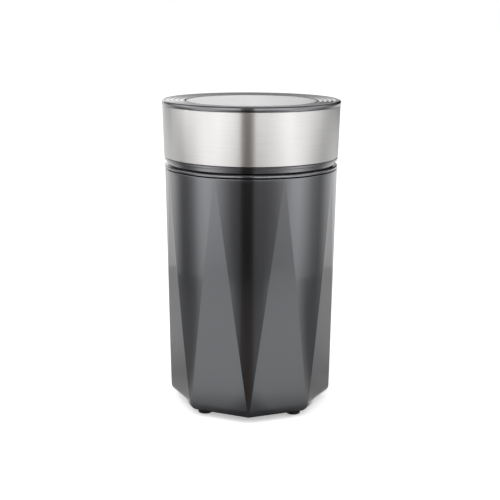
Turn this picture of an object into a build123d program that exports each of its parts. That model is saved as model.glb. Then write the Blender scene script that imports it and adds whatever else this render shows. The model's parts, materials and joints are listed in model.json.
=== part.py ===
from build123d import *
import math
import os

# Electric coffee grinder with a spinning blade, as the pieces that it comes apart into.
# Millimetres, +Z up. The origin lies on the table under the middle of the base.
# The front flat of the faceted body faces -Y, and the cord inlet is in the rear flat, which faces +Y.

# Allowances shared by all pieces
seat_gap = 0.1
slide_gap = 0.3
running_gap = 0.05
overrun = 1.0

# Housing shell
foot_height = 2.8
shell_height = 121.0
shell_top_radius = 43.6
shell_taper = 2.0
shell_wall = 2.2
flat_count = 8
flat_runout = 2.0
base_round_height = 5.0
base_round_inset = 3.5
rim_width = 1.2
ledge_width = 7.2
ledge_thickness = 3.0
post_wall = 1.9
post_web = 2.4
base_boss_wall = 1.4
base_boss_height = 9.0

# Collar round the bowl
seam_height = 0.6
seam_depth = 0.8
shoulder_height = 1.35
shoulder_overhang = 0.1
shoulder_round = 0.7
neck_step = 1.4
neck_height = 7.0
neck_wall = 1.8
groove_height = 0.65
groove_depth = 0.6
skirt_length = 11.3
skirt_wall = 1.6
seat_thickness = 2.0
lug_length = 8.0
lug_height = 2.0
lug_depth = 0.8

# Lid
press_travel = 2.0
lid_wall = 0.85
lid_gap = 2.4
lip_height = 1.65
lip_inset = 0.1
lip_round = 0.4
lip_chamfer = 0.45
band_height = 25.6
band_flare = 0.79
band_thickness = 0.5
ring_overhang = 0.26
ring_height = 2.6
ring_round = 1.1
ring_inner_land = 0.6
ring_outer_land = 1.3
rib_count = 4
rib_depth = 0.8
ring_dish = 0.4
window_gap = 0.5
window_drop = 0.55
window_thickness = 2.0
window_chamfer = 0.4
liner_wall = 1.8
liner_depth = 3.0
liner_flange_width = 3.1
liner_flange_thickness = 1.8
ceiling_step = 1.6
lid_seal_width = 2.4
lid_seal_height = 1.5
tab_width = 6.0
tab_thickness = 2.8

# Grinding bowl, blade and shaft seal
bowl_sheet = 0.7
bowl_flange_width = 1.8
bowl_corner = 8.0
bowl_hole_radius = 7.0
rim_drop = 0.5
gasket_thickness = 1.0
seal_flange_width = 2.0
seal_flange_thickness = 1.5
blade_height = 7.4
blade_clearance = 5.0
blade_width = 12.0
blade_tip_width = 6.0
blade_thickness = 1.6
blade_tip_length = 11.5
blade_tip_rise = 3.2
blade_hub_wall = 2.0
nut_wall = 2.1
nut_height = 5.0
nut_chamfer = 0.8
stud_step = 0.6

# Motor
motor_clearance = 2.5
shaft_radius = 3.0
shaft_tail = 1.0
washer_thickness = 0.8
washer_width = 2.5
end_float = 0.2
bearing_wall = 3.0
bearing_boss_wall = 2.5
boss_rise = 1.6
bracket_thickness = 4.0
bracket_width = 14.0
bracket_leg_wall = 2.7
core_length = 24.0
core_corner = 13.0
pole_yoke = 4.0
bolt_yoke = 6.0
window_margin = 3.0
window_corner = 0.8
pole_width = 14.0
shoe_thickness = 3.0
shoe_width = 19.0
coil_thickness = 3.0
air_gap = 0.6
armature_radius = 11.0
slot_count = 12
slot_width = 2.0
slot_depth = 4.5
winding_overhang = 7.0
winding_inset = 1.4
winding_core_gap = 1.4
winding_round = 2.0
commutator_wall = 4.5
commutator_length = 11.0
commutator_gap = 2.0
bar_groove_width = 0.5
bar_groove_depth = 0.5
coil_round = 3.0
bolt_radius = 1.7
bolt_head_overhang = 1.5
bolt_head_height = 2.5
damper_wall = 3.7
damper_height = 3.5

# Brushes
brush_width = 5.0
brush_height = 6.0
brush_length = 9.5
brush_spring_wire = 0.6
brush_spring_length = 4.4
holder_wall = 1.1
brush_post_length = 9.0

# Deck that carries the motor, the bowl and the switch
deck_thickness = 3.5
deck_screw_radius = 1.5
deck_screw_length = 12.0
deck_screw_overhang = 1.3
deck_screw_head_height = 2.0

# Switch and its plunger
plunger_radius = 1.5
plunger_body_radius = 2.3
plunger_rise = 0.6
plunger_foot_height = 3.0
plunger_foot_reach = 4.0
plunger_foot_drop = 1.0
spring_room = 15.6
spring_wire = 0.5
spring_turns = 7
switch_height = 10.0
switch_overhang = 2.0
lever_arm = 14.0
lever_tip = 1.5
lever_width = 4.2
lever_thickness = 0.4
lever_rise = 3.0
button_radius = 1.2
button_depth = 3.0
button_arm_share = 0.5
button_round_share = 0.8
pivot_radius = 0.5
pivot_barrel_wall = 0.4
ear_thickness = 0.9
ear_inset = 0.15
ear_margin = 0.9
ear_width = 2.6
ear_height = 4.2
terminal_width = 4.8
terminal_thickness = 0.8
terminal_length = 6.0
terminal_pitch = 7.0
switch_wall = 1.6
switch_screw_radius = 1.1
switch_screw_pitch = 9.5
switch_screw_overhang = 0.9
switch_screw_head_height = 1.2

# Base plate, feet, cord inlet and suppressor
plate_thickness = 3.0
foot_radius = 3.6
foot_margin = 0.4
foot_stem_radius = 2.0
foot_bottom_round = 0.6
base_screw_radius = 1.4
base_screw_length = 9.0
base_screw_overhang = 1.2
base_screw_head_height = 1.6
base_screw_margin = 1.2
vent_count = 5
vent_width = 2.0
vent_length = 26.0
vent_pitch = 5.0
gland_bore_radius = 3.3
gland_wall = 1.1
gland_flange_width = 1.4
gland_flange_thickness = 1.2
suppressor_length = 11.0
suppressor_width = 5.0
suppressor_height = 12.0
suppressor_round = 1.0
suppressor_margin = 1.0

# Radii of the shell, the collar's neck and the lid, from the inside outwards
shell_base_radius = shell_top_radius - shell_taper
neck_radius = shell_top_radius - neck_step
lid_inner = neck_radius + slide_gap
band_bottom_radius = lid_inner + lid_wall + seat_gap + band_thickness
band_top_radius = band_bottom_radius + band_flare
ring_radius = band_top_radius + ring_overhang

# Radii of the motor, its fixings and the switch, from the inside outwards
bearing_radius = shaft_radius + bearing_wall
bearing_boss_radius = bearing_radius + bearing_boss_wall
washer_radius = shaft_radius + washer_width
blade_hub_radius = shaft_radius + blade_hub_wall
stud_radius = shaft_radius - stud_step
nut_width = 2 * (stud_radius + nut_wall)
seal_flange_radius = bowl_hole_radius + seal_flange_width
commutator_radius = shaft_radius + commutator_wall
pole_bore = armature_radius + air_gap
coil_inner_y = pole_bore + shoe_thickness + slide_gap
coil_outer_y = coil_inner_y + coil_thickness
window_depth = 2 * (coil_outer_y + slide_gap)
core_depth = window_depth + 2 * pole_yoke
window_width = 2 * (pole_bore + window_margin)
core_width = window_width + 2 * bolt_yoke
bolt_x = (window_width + core_width) / 4
bolt_head_radius = bolt_radius + bolt_head_overhang
bracket_leg_radius = bolt_radius + bracket_leg_wall
damper_radius = bolt_radius + damper_wall
brush_spring_radius = brush_width / 2 - slide_gap
post_radius = deck_screw_radius + post_wall
deck_screw_head_radius = deck_screw_radius + deck_screw_overhang
base_boss_radius = base_screw_radius + base_boss_wall
base_screw_head_radius = base_screw_radius + base_screw_overhang
switch_screw_head_radius = switch_screw_radius + switch_screw_overhang
pivot_barrel_radius = pivot_radius + pivot_barrel_wall
gland_radius = gland_bore_radius + gland_wall
gland_flange_radius = gland_radius + gland_flange_width

# Heights from the table upwards
shell_bottom = foot_height
shell_top = shell_bottom + shell_height
runout_z = shell_top + flat_runout
plate_top = shell_bottom + plate_thickness
ledge_top = plate_top + ledge_thickness
shoulder_bottom = shell_top + seam_height
shoulder_top = shoulder_bottom + shoulder_height
neck_top = shoulder_top + neck_height
skirt_bottom = shell_top - skirt_length
lid_bottom = shoulder_top + lid_gap
band_bottom = lid_bottom + lip_height
band_top = band_bottom + band_height
ring_top = band_top + ring_height
bowl_rim = neck_top - rim_drop
bowl_flange_bottom = bowl_rim - bowl_sheet
seat_top = bowl_flange_bottom - gasket_thickness
seat_bottom = seat_top - seat_thickness

lower_bar_bottom = ledge_top + motor_clearance + bolt_head_height
lower_bar_top = lower_bar_bottom + bracket_thickness
lower_boss_bottom = lower_bar_bottom - boss_rise
lower_boss_top = lower_bar_top + boss_rise
commutator_bottom = lower_boss_top + washer_thickness + 2 * end_float
commutator_top = commutator_bottom + commutator_length
winding_bottom = commutator_top + commutator_gap
core_bottom = winding_bottom + winding_overhang
core_top = core_bottom + core_length
winding_top = core_top + winding_overhang
upper_boss_bottom = winding_top + washer_thickness + 2 * end_float
upper_bar_bottom = upper_boss_bottom + boss_rise
upper_bar_top = upper_bar_bottom + bracket_thickness
upper_boss_top = upper_bar_top + boss_rise
deck_bottom = upper_bar_top + damper_height
deck_top = deck_bottom + deck_thickness
bowl_floor = deck_top + bowl_sheet
seal_top = bowl_floor + seal_flange_thickness
blade_bottom = bowl_floor + blade_height
blade_top = blade_bottom + blade_thickness


def wall_radius(z):
    """Radius of the tapered round wall at height z."""
    share = (z - shell_bottom) / shell_height
    return shell_base_radius + (shell_top_radius - shell_base_radius) * share


half_turn = 180 / flat_count
corner_share = math.cos(math.radians(half_turn))
flat_base_distance = shell_base_radius * corner_share


def flat_distance(z):
    """Distance from the axis to the middle of a flat at height z."""
    share = (runout_z - z) / (runout_z - shell_bottom)
    return wall_radius(z) - (shell_base_radius - flat_base_distance) * share ** 2


# Radii and places that follow from the sizes above
inner_flat_at_deck = flat_distance(deck_bottom) - shell_wall
plunger_y = flat_distance(deck_top) - shell_wall - slide_gap - plunger_body_radius
bowl_flange_radius = plunger_y - plunger_radius - slide_gap
bowl_outer = bowl_flange_radius - bowl_flange_width
bowl_inner = bowl_outer - bowl_sheet
blade_length = 2 * (bowl_inner - blade_clearance)
neck_inner = neck_radius - neck_wall
skirt_outer = flat_distance(skirt_bottom) - shell_wall - slide_gap
skirt_inner = skirt_outer - skirt_wall
window_radius = bowl_inner - slide_gap
liner_inner = window_radius - liner_wall
liner_flange_radius = window_radius + liner_flange_width
recess_apothem = flat_base_distance - base_round_inset - rim_width
plate_apothem = recess_apothem - slide_gap
opening_apothem = recess_apothem - ledge_width
foot_circle = (plate_apothem - foot_radius - foot_margin) / corner_share
base_screw_circle = (plate_apothem - base_screw_head_radius - base_screw_margin) / corner_share
post_circle = inner_flat_at_deck - post_radius - slide_gap
deck_radius = inner_flat_at_deck - slide_gap
switch_y = plunger_y - plunger_foot_reach
switch_right = lever_tip + slide_gap + switch_overhang
switch_left = -(lever_arm + ear_width / 2 + ear_margin)
switch_x = (switch_left + switch_right) / 2
switch_length = switch_right - switch_left
switch_thickness = lever_width + 2 * (running_gap + ear_thickness + ear_inset)
plunger_top = neck_top + plunger_rise
plunger_body_top = seat_bottom - running_gap
plunger_body_bottom = deck_top + spring_room
foot_top = deck_bottom - plunger_foot_drop
foot_bottom = foot_top - plunger_foot_height
lever_top = foot_bottom - seat_gap
pivot_z = lever_top - lever_thickness / 2
switch_top = pivot_z - lever_rise
switch_bottom = switch_top - switch_height
holder_start = commutator_radius + holder_wall
holder_end = holder_start + brush_length + brush_spring_length + holder_wall
brush_z = (commutator_bottom + commutator_top) / 2
gland_height = ledge_top + slide_gap + gland_flange_radius

# Angles round the axis, in degrees: feet and posts stand under every other corner
post_angle = -half_turn
screw_angle = half_turn
lug_angle = 2 * half_turn
quarter = 4
standing = (Align.CENTER, Align.CENTER, Align.MIN)


def save(piece, name):
    """Labels a finished piece and writes it to its own file."""
    piece.part.label = name
    export_step(piece.part, f"parts/{name}.step")


def tube(outer, inner, bottom, top):
    """Adds a round tube about the axis, or a plain disc where inner is zero, to the piece being made."""
    with Locations((0, 0, bottom)):
        Cylinder(outer, top - bottom, align=standing)
        if inner > 0:
            Cylinder(inner, top - bottom, align=standing, mode=Mode.SUBTRACT)


def faceted_form(inset, bottom, top, rounded):
    """The body's outer form drawn in by inset: a tapered round wall that eight bowed flats cut into."""
    apex = (wall_radius(runout_z) - inset, runout_z)
    down_the_wall = (shell_base_radius - shell_top_radius, -shell_height)
    flat_end = bottom + base_round_height if rounded else bottom - overrun
    outside = shell_top_radius + overrun
    with BuildPart() as cutter:
        with BuildSketch(Plane.XZ):
            with BuildLine():
                flat = TangentArc(apex, (flat_distance(flat_end) - inset, flat_end), tangent=down_the_wall)
                end = flat @ 1
                if rounded:
                    turn = TangentArc(end, (end.X - base_round_inset, bottom), tangent=flat % 1)
                    end = turn @ 1
                Polyline(end, (end.X, bottom - 2 * overrun), (outside, bottom - 2 * overrun),
                         (outside, runout_z), apex)
            make_face()
        extrude(amount=shell_top_radius, both=True)
    with BuildPart() as form:
        with BuildSketch(Plane.XZ):
            with BuildLine():
                Polyline((0, bottom), (wall_radius(bottom) - inset, bottom),
                         (wall_radius(top) - inset, top), (0, top), close=True)
            make_face()
        revolve(axis=Axis.Z)
        with PolarLocations(0, flat_count):
            add(cutter.part, mode=Mode.SUBTRACT)
    return form.part


os.makedirs("parts", exist_ok=True)
outer_form = faceted_form(0, shell_bottom, shell_top, True)
cavity_form = faceted_form(shell_wall, ledge_top, shell_top + overrun, False)
middle_form = faceted_form(shell_wall / 2, ledge_top - ledge_thickness / 2, shell_top, False)

# Housing shell: faceted cup with a ledge at its foot, deck posts and screw bosses inside
with BuildPart() as deck_posts:
    with PolarLocations(post_circle, quarter, start_angle=post_angle):
        with Locations((0, 0, plate_top)):
            Cylinder(post_radius, deck_bottom - plate_top, align=standing)
            Box(post_circle, post_web, deck_bottom - plate_top, align=(Align.MIN, Align.CENTER, Align.MIN))
    add(middle_form, mode=Mode.INTERSECT)

with BuildPart() as housing_shell:
    add(outer_form)
    add(cavity_form, mode=Mode.SUBTRACT)
    add(deck_posts.part)
    with PolarLocations(base_screw_circle, quarter, start_angle=screw_angle):
        with Locations((0, 0, plate_top)):
            Cylinder(base_boss_radius, ledge_thickness + base_boss_height, align=standing)
    with BuildSketch(Plane.XY.offset(shell_bottom)):
        RegularPolygon(recess_apothem, flat_count, major_radius=False, rotation=half_turn)
    extrude(amount=plate_thickness, mode=Mode.SUBTRACT)
    with BuildSketch(Plane.XY.offset(plate_top)):
        RegularPolygon(opening_apothem, flat_count, major_radius=False, rotation=half_turn)
    extrude(amount=ledge_thickness, mode=Mode.SUBTRACT)
    with PolarLocations(base_screw_circle, quarter, start_angle=screw_angle):
        with Locations((0, 0, plate_top)):
            Cylinder(base_screw_radius + running_gap, base_screw_length, align=standing, mode=Mode.SUBTRACT)
    with PolarLocations(post_circle, quarter, start_angle=post_angle):
        with Locations((0, 0, deck_bottom - deck_screw_length)):
            Cylinder(deck_screw_radius + running_gap, deck_screw_length, align=standing, mode=Mode.SUBTRACT)
    with PolarLocations(skirt_outer, quarter, start_angle=lug_angle):
        with Locations((0, 0, skirt_bottom + lug_height)):
            Box(2 * (lug_depth + slide_gap), lug_length + 2 * slide_gap, lug_height + 2 * slide_gap,
                mode=Mode.SUBTRACT)
    with BuildSketch(Plane.XZ.offset(-opening_apothem)):
        with Locations((0, gland_height)):
            Circle(gland_radius + seat_gap)
        with Locations((0, gland_height / 2)):
            Rectangle(2 * (gland_radius + seat_gap), gland_height)
    extrude(amount=-shell_top_radius, mode=Mode.SUBTRACT)
save(housing_shell, "housing_shell")

# Collar: gloss ring that closes the shell's top, carries the bowl and guides the lid
with BuildPart() as collar:
    with BuildSketch(Plane.XZ):
        with BuildLine():
            shoulder_radius = shell_top_radius + shoulder_overhang
            round_start = (shoulder_radius, shoulder_top - shoulder_round)
            round_end = (shoulder_radius - shoulder_round, shoulder_top)
            Polyline((skirt_inner, seat_bottom), (skirt_inner, skirt_bottom), (skirt_outer, skirt_bottom),
                     (skirt_outer, shell_top), (shell_top_radius - seam_depth, shell_top),
                     (shoulder_radius, shoulder_bottom), round_start)
            TangentArc(round_start, round_end, tangent=(0, 1))
            Polyline(round_end, (neck_radius - groove_depth, shoulder_top),
                     (neck_radius, shoulder_top + groove_height), (neck_radius, neck_top),
                     (neck_inner, neck_top), (neck_inner, seat_top), (bowl_outer + slide_gap, seat_top),
                     (bowl_outer + slide_gap, seat_bottom), (skirt_inner, seat_bottom))
        make_face()
    revolve(axis=Axis.Z)
    with PolarLocations(skirt_outer, quarter, start_angle=lug_angle):
        with Locations((0, 0, skirt_bottom + lug_height)):
            Box(2 * lug_depth, lug_length, lug_height)
    with Locations((0, plunger_y, skirt_bottom - overrun)):
        pocket = plunger_body_radius + slide_gap
        Cylinder(pocket, seat_bottom - skirt_bottom + overrun, align=standing, mode=Mode.SUBTRACT)
        Box(2 * pocket, 2 * (shell_top_radius - plunger_y), shell_top - seam_height - skirt_bottom + overrun,
            align=standing, mode=Mode.SUBTRACT)
        Cylinder(plunger_radius + running_gap, neck_top - skirt_bottom + 2 * overrun, align=standing,
                 mode=Mode.SUBTRACT)
    with Locations((0, plunger_y, seat_top)):
        Box(tab_width + 2 * slide_gap, tab_thickness + 2 * slide_gap, neck_top - seat_top + overrun,
            align=standing, mode=Mode.SUBTRACT)
save(collar, "collar")

# Grinding bowl: deep-drawn steel cup that hangs by its flange and stands on the deck
with BuildPart() as grinding_bowl:
    with BuildSketch(Plane.XZ):
        with BuildLine():
            corner_r = bowl_outer - bowl_corner
            corner_z = deck_top + bowl_corner
            Line((bowl_hole_radius, deck_top), (corner_r, deck_top))
            CenterArc((corner_r, corner_z), bowl_corner, -90, 90)
            Polyline((bowl_outer, corner_z), (bowl_outer, bowl_flange_bottom),
                     (bowl_flange_radius, bowl_flange_bottom), (bowl_flange_radius, bowl_rim),
                     (bowl_inner, bowl_rim), (bowl_inner, corner_z))
            CenterArc((corner_r, corner_z), bowl_corner - bowl_sheet, -90, 90)
            Polyline((corner_r, bowl_floor), (bowl_hole_radius, bowl_floor), (bowl_hole_radius, deck_top))
        make_face()
    revolve(axis=Axis.Z)
save(grinding_bowl, "grinding_bowl")

with BuildPart() as bowl_gasket:
    tube(bowl_flange_radius, bowl_outer + slide_gap, seat_top, bowl_flange_bottom)
save(bowl_gasket, "bowl_gasket")

# Rubber seal in the bowl's hole, round the shaft
with BuildPart() as shaft_seal:
    tube(seal_flange_radius, 0, deck_top - seal_flange_thickness, seal_top)
    with Locations((0, 0, deck_top)):
        Cylinder(seal_flange_radius + overrun, bowl_sheet, align=standing, mode=Mode.SUBTRACT)
    tube(bowl_hole_radius - seat_gap, 0, deck_top, bowl_floor)
    with Locations((0, 0, deck_top - overrun - seal_flange_thickness)):
        Cylinder(shaft_radius + running_gap, seal_top - deck_top + seal_flange_thickness + 2 * overrun,
                 align=standing, mode=Mode.SUBTRACT)
save(shaft_seal, "shaft_seal")

# Deck: moulded disc that stands on the shell's posts
with BuildPart() as motor_deck:
    tube(deck_radius, seal_flange_radius + slide_gap, deck_bottom, deck_top)
    switch_back = switch_y - switch_thickness / 2
    with Locations((switch_x, switch_back, switch_bottom)):
        Box(switch_length, switch_wall, deck_bottom - switch_bottom,
            align=(Align.CENTER, Align.MAX, Align.MIN))
    with BuildSketch(Plane.XY.offset(deck_bottom)):
        with Locations((0, (switch_y + plunger_y) / 2)):
            Rectangle(2 * (plunger_radius + running_gap), plunger_y - switch_y + 2 * plunger_radius)
        with Locations((0, plunger_y)):
            Circle(plunger_radius + running_gap)
    extrude(amount=deck_thickness, mode=Mode.SUBTRACT)
    with PolarLocations(post_circle, quarter, start_angle=post_angle):
        with Locations((0, 0, deck_bottom)):
            Cylinder(deck_screw_radius + seat_gap, deck_thickness, align=standing, mode=Mode.SUBTRACT)
    with Locations((bolt_x, 0, deck_bottom), (-bolt_x, 0, deck_bottom)):
        Cylinder(bolt_radius + running_gap, deck_thickness, align=standing, mode=Mode.SUBTRACT)
    with GridLocations(switch_screw_pitch, 0, 2, 1):
        with Locations(Location((switch_x, switch_back, switch_bottom + switch_height / 2), (-90, 0, 0))):
            Cylinder(switch_screw_radius + running_gap, 2 * switch_wall + overrun, mode=Mode.SUBTRACT)
save(motor_deck, "motor_deck")

with BuildPart() as deck_screws:
    with PolarLocations(post_circle, quarter, start_angle=post_angle):
        with Locations((0, 0, deck_top)):
            Cylinder(deck_screw_head_radius, deck_screw_head_height, align=standing)
        with Locations((0, 0, deck_bottom - deck_screw_length + seat_gap)):
            Cylinder(deck_screw_radius, deck_screw_length + deck_thickness - seat_gap, align=standing)
save(deck_screws, "deck_screws")

# Motor: stator stack with two poles and a coil on each
with BuildPart() as stator_core:
    with BuildSketch(Plane.XY.offset(core_bottom)):
        RectangleRounded(core_width, core_depth, core_corner)
        RectangleRounded(window_width, window_depth, window_corner, mode=Mode.SUBTRACT)
        with BuildSketch(mode=Mode.PRIVATE) as pole_shoes:
            Circle(pole_bore + shoe_thickness)
            Rectangle(shoe_width, 2 * (pole_bore + shoe_thickness), mode=Mode.INTERSECT)
            Rectangle(pole_width, window_depth + overrun)
        add(pole_shoes.sketch)
        Circle(pole_bore, mode=Mode.SUBTRACT)
        with Locations((bolt_x, 0), (-bolt_x, 0)):
            Circle(bolt_radius + seat_gap, mode=Mode.SUBTRACT)
    extrude(amount=core_length)
save(stator_core, "stator_core")

coil_middle_z = (core_bottom + core_top) / 2
for side, name in ((1, "field_coil_rear"), (-1, "field_coil_front")):
    with BuildPart() as field_coil:
        with BuildSketch(Plane.XZ.offset(-side * coil_inner_y)):
            with Locations((0, coil_middle_z)):
                RectangleRounded(window_width - 2 * slide_gap, core_length + 2 * winding_overhang, coil_round)
                Rectangle(pole_width + 2 * slide_gap, core_length + 2 * slide_gap, mode=Mode.SUBTRACT)
        extrude(amount=-side * coil_thickness)
    save(field_coil, name)

# Bearing brackets above and below the stator
with BuildPart() as upper_bracket:
    with Locations((0, 0, upper_bar_bottom)):
        Box(2 * (bolt_x + bracket_leg_radius), bracket_width, bracket_thickness, align=standing)
    tube(bearing_boss_radius, 0, upper_boss_bottom, upper_boss_top)
    with Locations((bolt_x, 0, core_top), (-bolt_x, 0, core_top)):
        Cylinder(bracket_leg_radius, upper_bar_bottom - core_top, align=standing)
        Cylinder(bolt_radius + seat_gap, upper_bar_top - core_top, align=standing, mode=Mode.SUBTRACT)
    with Locations((0, 0, upper_boss_bottom)):
        Cylinder(bearing_radius, upper_boss_top - upper_boss_bottom, align=standing, mode=Mode.SUBTRACT)
save(upper_bracket, "upper_bracket")

holder_height = brush_height + 2 * (seat_gap + holder_wall)
holder_width = brush_width + 2 * (seat_gap + holder_wall)
post_y = (holder_start + holder_end) / 2
with BuildPart() as lower_bracket:
    with Locations((0, 0, lower_bar_bottom)):
        Box(2 * (bolt_x + bracket_leg_radius), bracket_width, bracket_thickness, align=standing)
        Box(holder_width, 2 * post_y + brush_post_length, bracket_thickness, align=standing)
    tube(bearing_boss_radius, 0, lower_boss_bottom, lower_boss_top)
    with Locations((0, post_y, lower_bar_top), (0, -post_y, lower_bar_top)):
        Box(holder_width, brush_post_length, brush_z - holder_height / 2 - lower_bar_top, align=standing)
    with Locations((bolt_x, 0, lower_bar_bottom), (-bolt_x, 0, lower_bar_bottom)):
        Cylinder(bracket_leg_radius, core_bottom - lower_bar_bottom, align=standing)
        Cylinder(bolt_radius + seat_gap, core_bottom - lower_bar_bottom, align=standing, mode=Mode.SUBTRACT)
    with Locations((0, 0, lower_boss_bottom)):
        Cylinder(bearing_radius, lower_boss_top - lower_boss_bottom, align=standing, mode=Mode.SUBTRACT)
save(lower_bracket, "lower_bracket")

with BuildPart() as motor_bolts:
    with Locations((bolt_x, 0, lower_bar_bottom), (-bolt_x, 0, lower_bar_bottom)):
        Cylinder(bolt_radius, deck_top - seat_gap - lower_bar_bottom, align=standing)
        Cylinder(bolt_head_radius, bolt_head_height, align=(Align.CENTER, Align.CENTER, Align.MAX))
save(motor_bolts, "motor_bolts")

with BuildPart() as rubber_dampers:
    with Locations((bolt_x, 0, upper_bar_top), (-bolt_x, 0, upper_bar_top)):
        Cylinder(damper_radius, damper_height, align=standing)
        Cylinder(bolt_radius + seat_gap, damper_height, align=standing, mode=Mode.SUBTRACT)
save(rubber_dampers, "rubber_dampers")

with BuildPart() as upper_bearing:
    tube(bearing_radius - running_gap, shaft_radius + running_gap, upper_boss_bottom, upper_boss_top)
save(upper_bearing, "upper_bearing")

with BuildPart() as lower_bearing:
    tube(bearing_radius - running_gap, shaft_radius + running_gap, lower_boss_bottom, lower_boss_top)
save(lower_bearing, "lower_bearing")

# Brush gear: a box holder each side of the commutator, with its carbon brush and spring
brush_start = commutator_radius + slide_gap
with BuildPart() as brush_holders:
    for side in (1, -1):
        with BuildSketch(Plane.XZ.offset(-side * holder_start)):
            with Locations((0, brush_z)):
                Rectangle(holder_width, holder_height)
        extrude(amount=-side * (holder_end - holder_start))
        with BuildSketch(Plane.XZ.offset(-side * holder_start)):
            with Locations((0, brush_z)):
                Rectangle(brush_width + 2 * seat_gap, brush_height + 2 * seat_gap)
        extrude(amount=-side * (holder_end - holder_wall - holder_start), mode=Mode.SUBTRACT)
save(brush_holders, "brush_holders")

with BuildPart() as carbon_brushes:
    for side in (1, -1):
        with BuildSketch(Plane.XZ.offset(-side * brush_start)):
            with Locations((0, brush_z)):
                Rectangle(brush_width, brush_height)
        extrude(amount=-side * brush_length)
save(carbon_brushes, "carbon_brushes")

brush_end = brush_start + brush_length
with BuildPart() as brush_springs:
    for side in (1, -1):
        with BuildSketch(Plane.XZ.offset(-side * brush_end)):
            with Locations((0, brush_z)):
                Circle(brush_spring_radius)
                Circle(brush_spring_radius - brush_spring_wire, mode=Mode.SUBTRACT)
        extrude(amount=-side * (holder_end - holder_wall - brush_end))
save(brush_springs, "brush_springs")

# Rotor: shaft, armature, commutator, hub, blade and nut, which turn together
with BuildPart() as motor_shaft:
    tube(shaft_radius, 0, lower_boss_bottom - shaft_tail, blade_bottom)
    tube(stud_radius, 0, blade_bottom, blade_top + nut_height - nut_chamfer - seat_gap)
save(motor_shaft, "motor_shaft")

with BuildPart() as armature_core:
    tube(armature_radius, shaft_radius + running_gap, core_bottom, core_top)
    with PolarLocations(armature_radius, slot_count):
        with Locations((0, 0, core_bottom)):
            Box(2 * slot_depth, slot_width, core_length, align=standing, mode=Mode.SUBTRACT)
save(armature_core, "armature_core")

with BuildPart() as armature_winding:
    winding_outer = armature_radius - winding_inset
    winding_inner = shaft_radius + winding_core_gap
    for low, high in ((winding_bottom, core_bottom), (core_top, winding_top)):
        tube(winding_outer, winding_inner, low, high)
    rims = armature_winding.edges().filter_by(GeomType.CIRCLE).group_by(SortBy.RADIUS)[-1].sort_by(Axis.Z)
    fillet([rims[0], rims[-1]], radius=winding_round)
    with PolarLocations(winding_outer, slot_count):
        with Locations((0, 0, core_bottom)):
            Box(slot_depth - winding_inset - seat_gap, slot_width - 2 * seat_gap, core_length,
                align=(Align.MAX, Align.CENTER, Align.MIN))
save(armature_winding, "armature_winding")

with BuildPart() as commutator:
    tube(commutator_radius, shaft_radius + running_gap, commutator_bottom, commutator_top)
    with PolarLocations(commutator_radius, slot_count):
        with Locations((0, 0, commutator_bottom)):
            Box(2 * bar_groove_depth, bar_groove_width, commutator_length, align=standing, mode=Mode.SUBTRACT)
save(commutator, "commutator")

with BuildPart() as thrust_washers:
    tube(washer_radius, shaft_radius + running_gap, lower_boss_top + end_float,
         lower_boss_top + end_float + washer_thickness)
    tube(washer_radius, shaft_radius + running_gap, upper_boss_bottom - end_float - washer_thickness,
         upper_boss_bottom - end_float)
save(thrust_washers, "thrust_washers")

with BuildPart() as blade_hub:
    tube(blade_hub_radius, shaft_radius + running_gap, seal_top + slide_gap, blade_bottom)
save(blade_hub, "blade_hub")

# Blade: a steel strip with one tip bent up and the other bent down, narrowing to its tips
with BuildPart() as blade:
    with BuildSketch(Plane.XZ):
        with BuildLine():
            tip_x = blade_length / 2
            flat_x = tip_x - blade_tip_length
            Polyline((-tip_x, blade_bottom - blade_tip_rise), (-flat_x, blade_bottom), (flat_x, blade_bottom),
                     (tip_x, blade_bottom + blade_tip_rise), (tip_x, blade_top + blade_tip_rise),
                     (flat_x, blade_top), (-flat_x, blade_top), (-tip_x, blade_top - blade_tip_rise),
                     close=True)
        make_face()
    extrude(amount=blade_width / 2, both=True)
    with BuildSketch(Plane.XY.offset(blade_bottom - blade_tip_rise - overrun)):
        with BuildLine():
            Polyline((tip_x, blade_tip_width / 2), (0, blade_width / 2), (-tip_x, blade_tip_width / 2),
                     (-tip_x, -blade_tip_width / 2), (0, -blade_width / 2), (tip_x, -blade_tip_width / 2),
                     close=True)
        make_face()
    extrude(amount=2 * (blade_tip_rise + overrun) + blade_thickness, mode=Mode.INTERSECT)
    with Locations((0, 0, blade_bottom - overrun)):
        Cylinder(stud_radius + running_gap, blade_thickness + 2 * overrun, align=standing, mode=Mode.SUBTRACT)
save(blade, "blade")

with BuildPart() as blade_nut:
    with BuildSketch(Plane.XY.offset(blade_top)):
        RegularPolygon(nut_width / 2, 6, major_radius=False)
    extrude(amount=nut_height)
    chamfer(blade_nut.faces().sort_by(Axis.Z)[-1].edges(), length=nut_chamfer)
    with Locations((0, 0, blade_top)):
        Cylinder(stud_radius + running_gap, nut_height - nut_chamfer, align=standing, mode=Mode.SUBTRACT)
save(blade_nut, "blade_nut")

# Switch below the deck: body with its pivot ears, terminals, lever and button
with BuildPart() as switch_body:
    with Locations((switch_x, switch_y, switch_bottom)):
        Box(switch_length, switch_thickness, switch_height, align=standing)
    ear_y = lever_width / 2 + running_gap + ear_thickness / 2
    with Locations((-lever_arm, switch_y + ear_y, switch_top), (-lever_arm, switch_y - ear_y, switch_top)):
        Box(ear_width, ear_thickness, ear_height, align=standing)
    with Locations(Location((-lever_arm, switch_y, pivot_z), (-90, 0, 0))):
        Cylinder(pivot_radius + running_gap, switch_thickness + 2 * overrun, mode=Mode.SUBTRACT)
    with Locations((-lever_arm * button_arm_share, switch_y, switch_top)):
        Cylinder(button_radius + running_gap, 2 * button_depth, align=(Align.CENTER, Align.CENTER, Align.MAX),
                 mode=Mode.SUBTRACT)
    with GridLocations(switch_screw_pitch, 0, 2, 1):
        with Locations(Location((switch_x, switch_y, switch_bottom + switch_height / 2), (-90, 0, 0))):
            Cylinder(switch_screw_radius + running_gap, switch_thickness + overrun, mode=Mode.SUBTRACT)
save(switch_body, "switch_body")

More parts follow.
